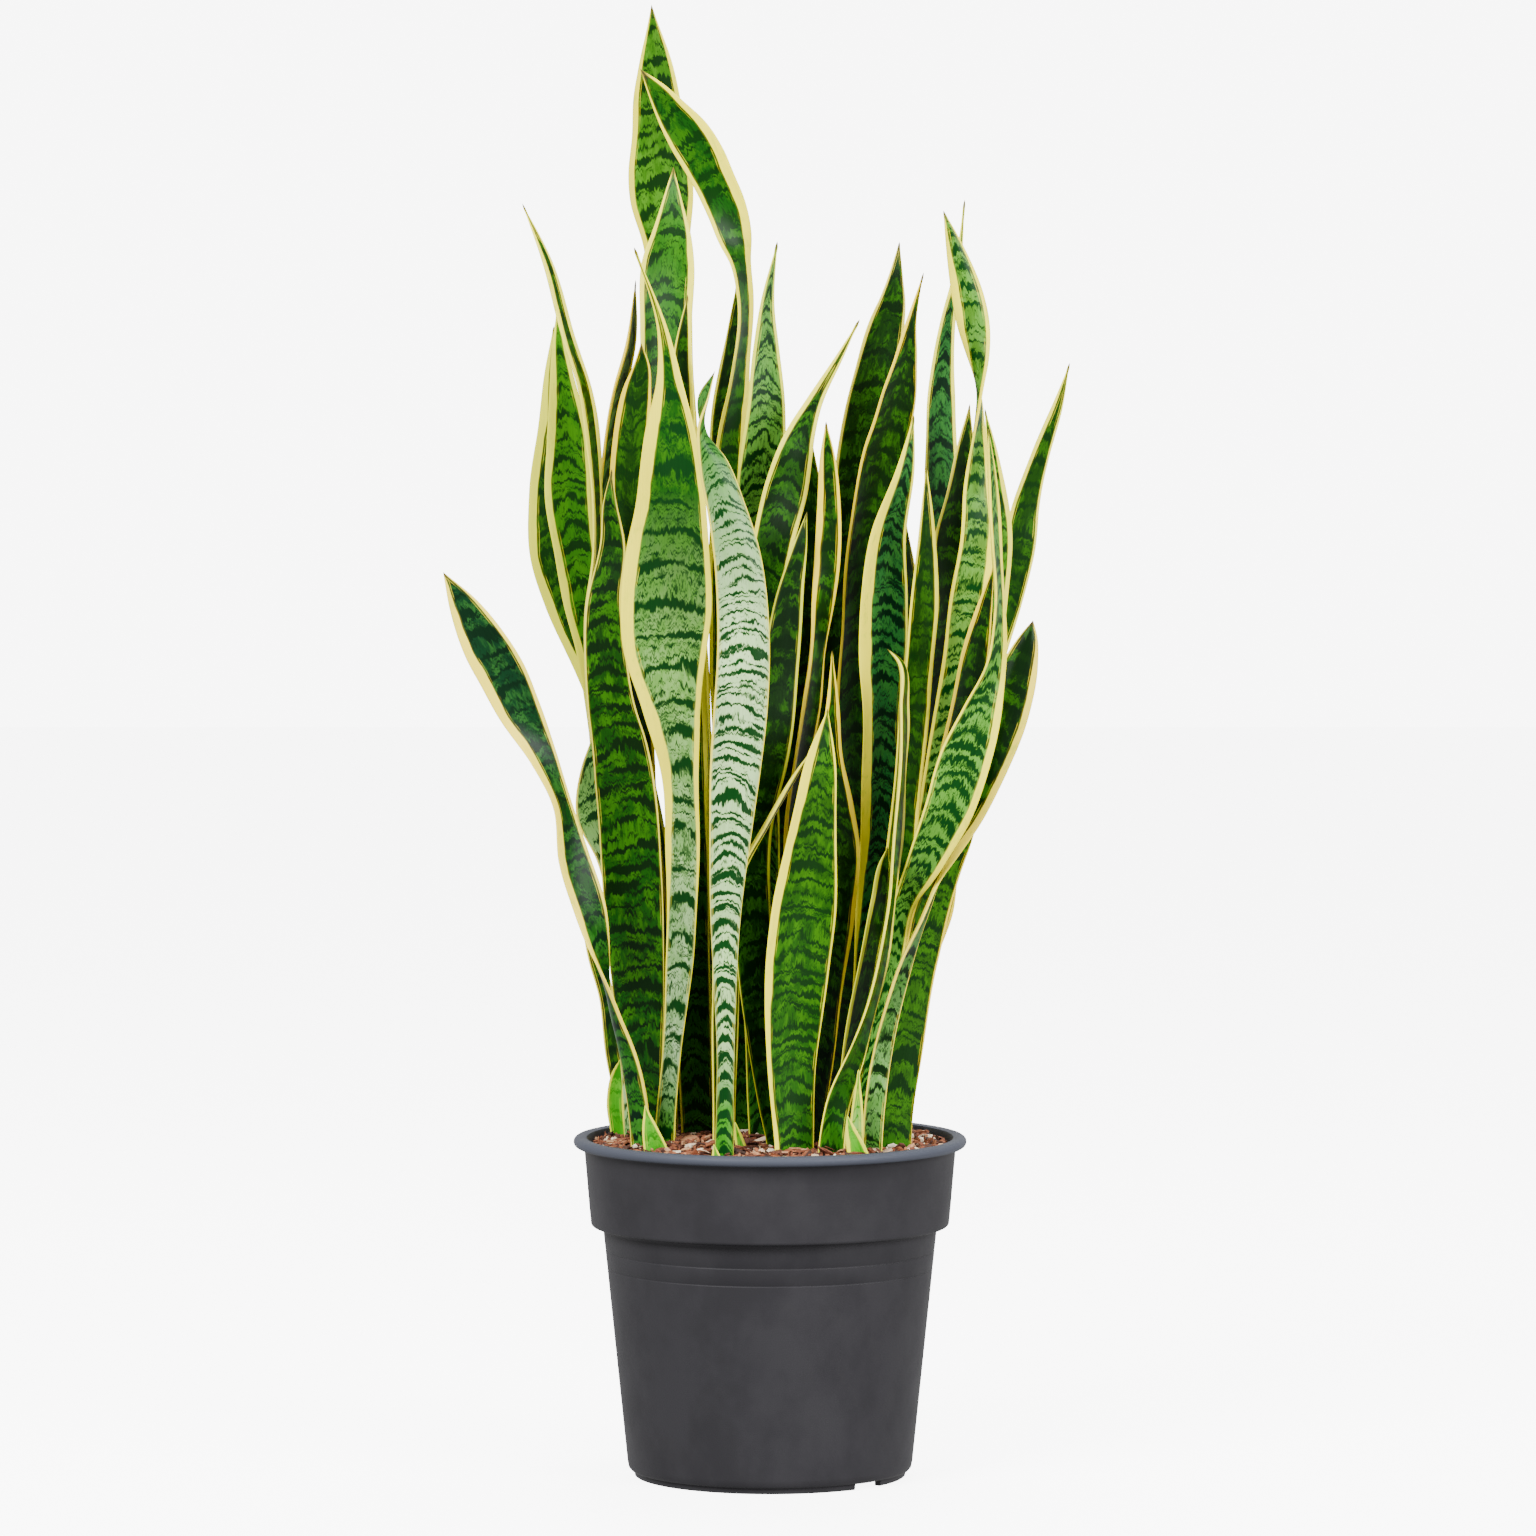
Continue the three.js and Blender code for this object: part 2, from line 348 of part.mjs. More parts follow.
// A leaf's closed blade, grown outwards by `gap` on every side.
const leafGeometry = ({ rows, cup, facing = 0 }, gap) => {
  const foreshortening = Math.cos(THREE.MathUtils.degToRad(facing));
  const placed = rows.map(([height, x, y]) => new THREE.Vector3(
    x * spread, y * spread, soilTop + height * plantStretch));
  const foot = placed[0].clone();
  foot.z -= rootedDepth + gap;
  const spine = new THREE.CatmullRomCurve3([foot, ...placed]);
  const shapeRows = [rows[0], ...rows].map((row) => new THREE.Vector3(row[3] * spread, row[4], 0));
  const shape = new THREE.CatmullRomCurve3(shapeRows, false, 'catmullrom', 0.5);
  const spans = spine.points.length - 1;

  const stations = [0];
  for (let i = 0; i < spans; i += 1) {
    const length = spine.points[i].distanceTo(spine.points[i + 1]);
    const steps = Math.max(1, Math.round(length / ringSpacing));
    for (let k = 1; k <= steps; k += 1) stations.push((i + k / steps) / spans);
  }

  const positions = [];
  for (const t of stations.slice(0, -1)) {
    const centre = spine.getPoint(t);
    const along = spine.getTangent(t);
    const { x: bareWidth, y: turn } = shape.getPoint(t);
    const leafWidth = Math.max(bareWidth / foreshortening, narrowest);
    const width = leafWidth + 2 * edgeAllowance * gap;
    const thickness = Math.min(leafThickness, tipShare * width) + 2 * faceAllowance * gap;
    const level = new THREE.Vector3(1, 0, 0).addScaledVector(along, -along.x).normalize();
    const across = level.clone().applyAxisAngle(along, THREE.MathUtils.degToRad(turn + facing));
    const through = along.clone().cross(across);
    for (const [u, v] of bladeSection) {
      const reach = u * width / leafWidth;
      const channel = -cup * leafWidth * (reach * reach - channelCentre);
      const corner = centre.clone()
        .addScaledVector(across, u * width / 2)
        .addScaledVector(through, v * thickness / 2 + channel);
      positions.push(corner.x, corner.y, corner.z);
    }
  }
  const tip = spine.getPoint(1);
  tip.z += gap * edgeAllowance;
  positions.push(tip.x, tip.y, tip.z);

  const corners = bladeSection.length;
  const rings = stations.length - 1;
  const indices = [0, 5, 1, 1, 5, 4, 1, 4, 2, 2, 4, 3];
  for (let i = 0; i < rings; i += 1) {
    for (let j = 0; j < corners; j += 1) {
      const here = i * corners + j;
      const next = i * corners + (j + 1) % corners;
      if (i === rings - 1) indices.push(here, next, rings * corners);
      else indices.push(here, next, next + corners, here, next + corners, here + corners);
    }
  }
  const geometry = new THREE.BufferGeometry();
  geometry.setAttribute('position', new THREE.Float32BufferAttribute(positions, 3));
  geometry.setIndex(indices);
  geometry.computeVertexNormals();
  return geometry;
};

// ---- Bark mix -----------------------------------------------------------------------------

const soilProfile = () => {
  const collarFoot = shoulderZ + shoulderRise;
  const edgeZ = soilTop - soilMound;
  const share = (edgeZ - collarFoot) / (mouthZ - collarFoot);
  const edgeRadius = THREE.MathUtils.lerp(collarFootRadius, collarTopRadius, share) - wall;
  const outside = (radius) => radius - wall - clearance;
  return [
    [0, floorTop + clearance],
    [outside(bodyFootRadius), floorTop + clearance],
    [outside(bodyTopRadius), shoulderZ - shoulderDrop + clearance],
    [outside(collarFootRadius), collarFoot + clearance],
    [edgeRadius - clearance, edgeZ],
    [edgeRadius * moundShoulder, soilTop - soilMound * moundShoulderDrop],
    [edgeRadius * moundFlat, soilTop],
    [0, soilTop],
  ];
};

const soilGeometry = () => {
  let solid = solidOf(turned(soilProfile()));
  for (const leaf of leafTable) {
    solid = solid.subtract(solidOf(leafGeometry(leaf, clearance)));
  }
  return geometryOf(solid);
};

// ---- Assembly -----------------------------------------------------------------------------

const group = new THREE.Group();

const addPiece = (name, geometry, color, roughness) => {
  const material = new THREE.MeshStandardMaterial({ color, roughness, metalness: 0 });
  const mesh = new THREE.Mesh(geometry, material);
  mesh.name = name;
  group.add(mesh);
};

addPiece('nursery_pot', potGeometry(), 0x4a494c, 0.55);
addPiece('bark_mix', soilGeometry(), 0x7a4630, 0.95);
for (const leaf of leafTable) {
  addPiece(leaf.name, leafGeometry(leaf, 0), tones[leaf.tone], 0.45);
}

export default group;
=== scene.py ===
"""Looks for a potted snake plant: smooth banded leaves, a bark surface and a moulded nursery pot."""

import logging
import math
from dataclasses import dataclass, replace
from enum import Enum
from typing import Dict, List, Optional, Sequence, Tuple, Union

import bpy
import numpy as np
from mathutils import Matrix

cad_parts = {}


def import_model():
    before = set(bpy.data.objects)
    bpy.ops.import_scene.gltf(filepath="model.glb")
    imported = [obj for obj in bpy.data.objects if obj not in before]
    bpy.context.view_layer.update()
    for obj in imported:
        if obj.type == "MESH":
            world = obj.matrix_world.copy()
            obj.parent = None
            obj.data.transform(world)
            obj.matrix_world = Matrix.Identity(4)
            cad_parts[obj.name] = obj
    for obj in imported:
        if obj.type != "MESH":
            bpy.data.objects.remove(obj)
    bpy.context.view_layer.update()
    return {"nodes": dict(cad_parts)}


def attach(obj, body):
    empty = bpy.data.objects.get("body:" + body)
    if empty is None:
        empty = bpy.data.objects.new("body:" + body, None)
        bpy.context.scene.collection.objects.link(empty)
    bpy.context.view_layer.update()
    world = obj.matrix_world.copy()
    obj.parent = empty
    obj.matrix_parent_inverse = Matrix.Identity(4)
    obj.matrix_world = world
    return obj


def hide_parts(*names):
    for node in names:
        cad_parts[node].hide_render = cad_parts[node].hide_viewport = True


LOG = logging.getLogger("snake_plant")
Color = Tuple[float, float, float]
Socket = bpy.types.NodeSocket
Term = Union[Socket, float, Color]
Face = List[int]


class BladeMap(Enum):
    """The UV maps of a blade."""

    SIZE = "blade"  # across from the middle and along from the root, in metres
    SHARE = "share"  # the same from -1 to 1 and from 0 to 1
    EDGE = "edge"  # how far the left and the right edge are, in metres


class Op(Enum):
    """The sums that a math node does."""

    ADD = "ADD"
    SUBTRACT = "SUBTRACT"
    MULTIPLY = "MULTIPLY"
    MULTIPLY_ADD = "MULTIPLY_ADD"
    DIVIDE = "DIVIDE"
    FRACT = "FRACT"
    ABSOLUTE = "ABSOLUTE"
    MINIMUM = "MINIMUM"
    MAXIMUM = "MAXIMUM"
    ARCTAN2 = "ARCTAN2"
    COSINE = "COSINE"
    SINE = "SINE"


class Blend(Enum):
    """The ways that two colours mix."""

    MIX = "MIX"
    MULTIPLY = "MULTIPLY"


def srgb(code: str) -> Color:
    """Turns a six-digit display colour into a linear one."""
    shares = [int(code[i : i + 2], 16) / 255 for i in (0, 2, 4)]
    return tuple(s / 12.92 if s <= 0.04045 else ((s + 0.055) / 1.055) ** 2.4 for s in shares)


def leaf(code: str) -> Color:
    """Turns the colour that a blade shows in bright light into the colour of its surface."""
    red, green, blue = srgb(code)
    return 0.66 * red**1.42, 0.77 * green**1.42, 0.50 * blue**1.35


# ---------------------------------------------------------------------------------------------
# Meshes
# ---------------------------------------------------------------------------------------------


def grid_faces(rows: int, columns: int) -> List[Face]:
    """Lists the quads of a grid whose columns run all the way round.

    Args:
        rows: The number of rows of vertices.
        columns: The number of vertices in each row.

    Returns:
        The vertex numbers of each face.
    """
    row, column = np.meshgrid(np.arange(rows - 1), np.arange(columns), indexing="ij")
    beside, above = (column + 1) % columns, row + 1
    corners = ((row, column), (row, beside), (above, beside), (above, column))
    return np.stack([r * columns + c for r, c in corners], axis=-1).reshape(-1, 4).tolist()


def end_fans(last: int, columns: int) -> List[Face]:
    """Closes both ends of a grid with fans of triangles about two middle vertices.

    Args:
        last: The number of the first vertex of the grid's last row.
        columns: The number of vertices in each row. The middle vertices follow the last row.

    Returns:
        The vertex numbers of each triangle.
    """
    faces = []
    centre = last + columns
    for k in range(columns):
        beside = (k + 1) % columns
        faces.append([beside, k, centre])
        faces.append([last + k, last + beside, centre + 1])
    return faces


def mesh_object(
    name: str,
    points: np.ndarray,
    faces: Sequence[Face],
    layers: Optional[Dict[str, np.ndarray]] = None,
    values: Optional[Dict[str, np.ndarray]] = None,
    smooth: bool = True,
) -> bpy.types.Object:
    """Makes a mesh object from arrays, with its faces turned outwards.

    Args:
        name: The object's name.
        points: Vertex positions, in metres.
        faces: Vertex numbers of each face.
        layers: UV maps by name, each with a pair of numbers for each vertex.
        values: Point attributes by name, each with a number for each vertex.
        smooth: Whether the faces are shaded smoothly.

    Returns:
        The new object, linked to the scene.
    """
    mesh = bpy.data.meshes.new(name)
    mesh.from_pydata(points.tolist(), [], faces)
    mesh.update()
    corners = np.empty(len(mesh.loops), dtype=np.int32)
    mesh.loops.foreach_get("vertex_index", corners)
    for layer, pairs in (layers or {}).items():
        mesh.uv_layers.new(name=layer).data.foreach_set("uv", pairs[corners].astype(np.float32).ravel())
    for label, numbers in (values or {}).items():
        attribute = mesh.attributes.new(label, "FLOAT", "POINT")
        attribute.data.foreach_set("value", numbers.astype(np.float32).ravel())
    mesh.polygons.foreach_set("use_smooth", np.full(len(mesh.polygons), smooth))
    if signed_volume(mesh) < 0:
        mesh.flip_normals()
    mesh.update()
    made = bpy.data.objects.new(name, mesh)
    bpy.context.scene.collection.objects.link(made)
    return made


def signed_volume(mesh: bpy.types.Mesh) -> float:
    """Measures a closed mesh's volume, which is negative where its faces point inwards.

    Args:
        mesh: The mesh.

    Returns:
        The volume, in cubic metres.
    """
    mesh.calc_loop_triangles()
    corners = np.empty(len(mesh.loop_triangles) * 3, dtype=np.int32)
    mesh.loop_triangles.foreach_get("vertices", corners)
    places = np.empty(len(mesh.vertices) * 3)
    mesh.vertices.foreach_get("co", places)
    a, b, c = np.moveaxis(places.reshape(-1, 3)[corners.reshape(-1, 3)], 1, 0)
    return float(np.einsum("ij,ij->i", a, np.cross(b, c)).sum() / 6)


def smooth_rows(stations: np.ndarray, rows: np.ndarray, wanted: np.ndarray) -> np.ndarray:
    """Runs a smooth curve through rows of numbers, as a cubic between each pair of stations.

    Args:
        stations: The distance along of each known row, rising.
        rows: The numbers known at each station.
        wanted: The distances at which they are wanted.

    Returns:
        The numbers at each wanted distance.
    """
    steps = np.diff(stations)[:, None]
    slopes = np.diff(rows, axis=0) / steps
    tangents = np.empty_like(rows)
    tangents[1:-1] = (slopes[:-1] * steps[1:] + slopes[1:] * steps[:-1]) / (steps[:-1] + steps[1:])
    tangents[0] = slopes[0]
    tangents[-1] = slopes[-1]
    span = np.clip(np.searchsorted(stations, wanted, side="right") - 1, 0, len(stations) - 2)
    h = steps[span]
    t = (wanted - stations[span])[:, None] / h
    return (
        (2 * t**3 - 3 * t**2 + 1) * rows[span]
        + (t**3 - 2 * t**2 + t) * h * tangents[span]
        + (3 * t**2 - 2 * t**3) * rows[span + 1]
        + (t**3 - t**2) * h * tangents[span + 1]
    )


def unit(vectors: np.ndarray) -> np.ndarray:
    """Scales vectors to length one."""
    return vectors / np.maximum(np.linalg.norm(vectors, axis=-1, keepdims=True), 1e-9)


# ---------------------------------------------------------------------------------------------
# Material nodes
# ---------------------------------------------------------------------------------------------


@dataclass
class Graph:
    """A node tree with short ways to add the nodes that the finishes use."""

    tree: bpy.types.NodeTree

    def node(self, kind: str, **settings: object) -> bpy.types.Node:
        """Adds a node.

        Args:
            kind: The node's type name.
            **settings: Properties to set on it.

        Returns:
            The node.
        """
        made = self.tree.nodes.new(kind)
        for key, value in settings.items():
            setattr(made, key, value)
        return made

    def put(self, socket: Socket, value: Term) -> None:
        """Links a socket to an input, or sets the input to a number or colour.

        Args:
            socket: The input socket.
            value: An output socket, a number, or a tuple of three numbers.
        """
        if isinstance(value, bpy.types.NodeSocket):
            self.tree.links.new(value, socket)
        elif isinstance(value, tuple) and socket.type == "RGBA":
            socket.default_value = (*value, 1.0)
        else:
            socket.default_value = value

    def math(self, operation: Op, *terms: Term) -> Socket:
        """Adds a math node.

        Args:
            operation: What it works out.
            *terms: Its inputs, as sockets or numbers.

        Returns:
            The result socket.
        """
        made = self.node("ShaderNodeMath", operation=operation.value)
        for socket, term in zip(made.inputs, terms):
            self.put(socket, term)
        return made.outputs[0]

    def add(self, first: Term, second: Term) -> Socket:
        """Adds two terms."""
        return self.math(Op.ADD, first, second)

    def less(self, first: Term, second: Term) -> Socket:
        """Takes the second term from the first."""
        return self.math(Op.SUBTRACT, first, second)

    def times(self, first: Term, second: Term) -> Socket:
        """Multiplies two terms."""
        return self.math(Op.MULTIPLY, first, second)

    def scaled(self, value: Term, scale: Term, shift: Term) -> Socket:
        """Multiplies a term by a scale and adds a shift."""
        return self.math(Op.MULTIPLY_ADD, value, scale, shift)

    def step(self, value: Term, low: Term, high: Term) -> Socket:
        """Rises smoothly from 0 to 1 as a value goes from low to high.

        Args:
            value: The value.
            low: Where the rise starts.
            high: Where it ends.

        Returns:
            The result socket.
        """
        made = self.node("ShaderNodeMapRange", interpolation_type="SMOOTHSTEP")
        for name, term in (("Value", value), ("From Min", low), ("From Max", high)):
            self.put(made.inputs[name], term)
        return made.outputs[0]

    def vector(self, x: Term, y: Term, z: Term) -> Socket:
        """Joins three numbers into a vector.

        Args:
            x: The first number.
            y: The second number.
            z: The third number.

        Returns:
            The vector socket.
        """
        made = self.node("ShaderNodeCombineXYZ")
        for socket, term in zip(made.inputs, (x, y, z)):
            self.put(socket, term)
        return made.outputs[0]

    def split(self, vector: Socket) -> Tuple[Socket, Socket, Socket]:
        """Takes a vector apart.

        Args:
            vector: The vector socket.

        Returns:
            Its three number sockets.
        """
        made = self.node("ShaderNodeSeparateXYZ")
        self.put(made.inputs[0], vector)
        return made.outputs[0], made.outputs[1], made.outputs[2]

    def noise(self, vector: Socket, scale: float = 1.0, detail: float = 2.0,
              roughness: float = 0.5) -> Socket:
        """Adds cloudy noise.

        Args:
            vector: Where to sample it.
            scale: How fine it is.
            detail: How many finer layers it has.
            roughness: How strong those layers are.

        Returns:
            The noise value socket, centred on 0.5.
        """
        made = self.node("ShaderNodeTexNoise", noise_dimensions="3D")
        self.put(made.inputs["Vector"], vector)
        for name, number in (("Scale", scale), ("Detail", detail), ("Roughness", roughness)):
            self.put(made.inputs[name], number)
        return made.outputs[0]

    def mix(self, share: Term, first: Term, second: Term, blend: Blend = Blend.MIX) -> Socket:
        """Mixes two colours.

        Args:
            share: How much of the second shows.
            first: The first colour.
            second: The second colour.
            blend: The way that they mix.

        Returns:
            The colour socket.
        """
        made = self.node("ShaderNodeMix", data_type="RGBA", blend_type=blend.value)
        self.put(made.inputs[0], share)
        self.put(made.inputs[6], first)
        self.put(made.inputs[7], second)
        return made.outputs[2]

    def ramp(self, value: Socket, stops: Sequence[Tuple[float, Color]]) -> Socket:
        """Turns a value into a colour through a row of stops.

        Args:
            value: The value socket.
            stops: Each stop's place, from 0 to 1, and its colour.

        Returns:
            The colour socket.
        """
        made = self.node("ShaderNodeValToRGB")
        elements = made.color_ramp.elements
        while len(elements) < len(stops):
            elements.new(1.0)
        for element, (place, color) in zip(elements, stops):
            element.position = place
            element.color = (*color, 1.0)
        self.put(made.inputs[0], value)
        return made.outputs[0]

    def bump(self, height: Socket, strength: float, depth: float) -> Socket:
        """Turns a height into a normal.

        Args:
            height: The height socket.
            strength: How much of the effect shows.
            depth: How far a height of one stands out, in metres.

        Returns:
            The normal socket.
        """
        made = self.node("ShaderNodeBump")
        for name, value in (("Strength", strength), ("Distance", depth), ("Height", height)):
            self.put(made.inputs[name], value)
        return made.outputs[0]

    def uv(self, layer: BladeMap) -> Socket:
        """Reads a UV map."""
        return self.node("ShaderNodeUVMap", uv_map=layer.value).outputs[0]

    def attribute(self, name: str) -> Socket:
        """Reads a point attribute that holds one number."""
        return self.node("ShaderNodeAttribute", attribute_name=name).outputs["Fac"]


def new_group(
    name: str, inputs: Sequence[Tuple[str, str]], outputs: Sequence[Tuple[str, str]]
) -> Tuple[Graph, Dict[str, Socket], bpy.types.Node]:
    """Starts a shared node group.

    Args:
        name: The group's name.
        inputs: Names and kinds of its inputs, the kind "Color" or "Float".
        outputs: Names and kinds of its outputs.

    Returns:
        The group's graph, its input sockets by name, and its output node.
    """
    tree = bpy.data.node_groups.new(name, "ShaderNodeTree")
    for label, kind in inputs:
        tree.interface.new_socket(name=label, in_out="INPUT", socket_type="NodeSocket" + kind)
    for label, kind in outputs:
        tree.interface.new_socket(name=label, in_out="OUTPUT", socket_type="NodeSocket" + kind)
    start = tree.nodes.new("NodeGroupInput")
    end = tree.nodes.new("NodeGroupOutput")
    return Graph(tree), {label: start.outputs[label] for label, _ in inputs}, end


def new_material(name: str) -> Tuple[bpy.types.Material, Graph, bpy.types.Node]:
    """Starts a material.

    Args:
        name: The material's name.

    Returns:
        The material, its graph and its surface shader node.
    """
    material = bpy.data.materials.new(name)
    material.use_nodes = True
    graph = Graph(material.node_tree)
    return material, graph, material.node_tree.nodes["Principled BSDF"]


# ---------------------------------------------------------------------------------------------
# Leaf finish
# ---------------------------------------------------------------------------------------------


CREAM: Color = (0.90, 0.82, 0.05)
BUTTER: Color = (0.88, 0.78, 0.02)
YELLOW: Color = (0.84, 0.62, 0.015)
PEACH: Color = (0.90, 0.72, 0.05)
LIME: Color = (0.66, 0.66, 0.03)


@dataclass(frozen=True)
class LeafFinish:
    """How one blade is coloured. Lengths are in metres, and colours are linear."""

    root: Color = leaf("4a8f22")
    low: Color = leaf("3d7614")
    middle: Color = leaf("386e0c")
    top: Color = leaf("315f0e")
    band: Color = leaf("1c5010")
    blotch: Color = leaf("66a014")
    margin: Color = (0.82, 0.70, 0.06)
    spot: Color = (0.50, 0.56, 0.03)
    pitch: float = 0.016
    arch: float = 0.006
    chevron: float = 0.0
    jag: float = 0.004
    cover: float = 0.30
    fade: float = 0.0
    lines: float = 0.55
    speckle: float = 0.40
    blotches: float = 0.35
    left: float = 0.0025
    right: float = 0.0025
    low_margin: float = 0.30
    ragged: float = 1.0
    stops: Tuple[float, float, float, float] = (0.04, 0.17, 0.5, 0.8)


DARK = LeafFinish(
    root=leaf("3a7a1c"), low=leaf("28580e"), middle=leaf("2a560a"), top=leaf("244c10"),
    band=leaf("17420d"), blotch=leaf("5a960e"), blotches=0.5, speckle=0.45, left=0.0015, right=0.0015,
)
GREEN = LeafFinish()
BRIGHT = LeafFinish(
    root=leaf("80c042"), low=leaf("70aa32"), middle=leaf("6aa028"), top=leaf("619826"),
    band=leaf("1f5512"), blotch=leaf("8cc04a"), blotches=0.4, speckle=0.4,
)
PALE = LeafFinish(
    root=leaf("5ea636"), low=leaf("c8dcb8"), middle=leaf("cfe0c2"), top=leaf("9cc07e"),
    band=leaf("1a5822"), blotch=leaf("98c872"), blotches=0.2, speckle=0.4, pitch=0.02,
)
BLUE = LeafFinish(
    root=leaf("5c9a44"), low=leaf("4c9056"), middle=leaf("4a8a56"), top=leaf("48824e"),
    band=leaf("17422a"), blotch=leaf("68a55a"), blotches=0.3, speckle=0.5, pitch=0.011, chevron=0.006,
)
YOUNG = LeafFinish(
    root=leaf("6cc030"), low=leaf("62b42c"), middle=leaf("5eae2a"), top=leaf("74b834"),
    band=leaf("4f9a2a"), blotch=leaf("94cc4c"), blotches=0.3, speckle=0.1, cover=0.2,
    margin=LIME, left=0.0014, right=0.0014,
)

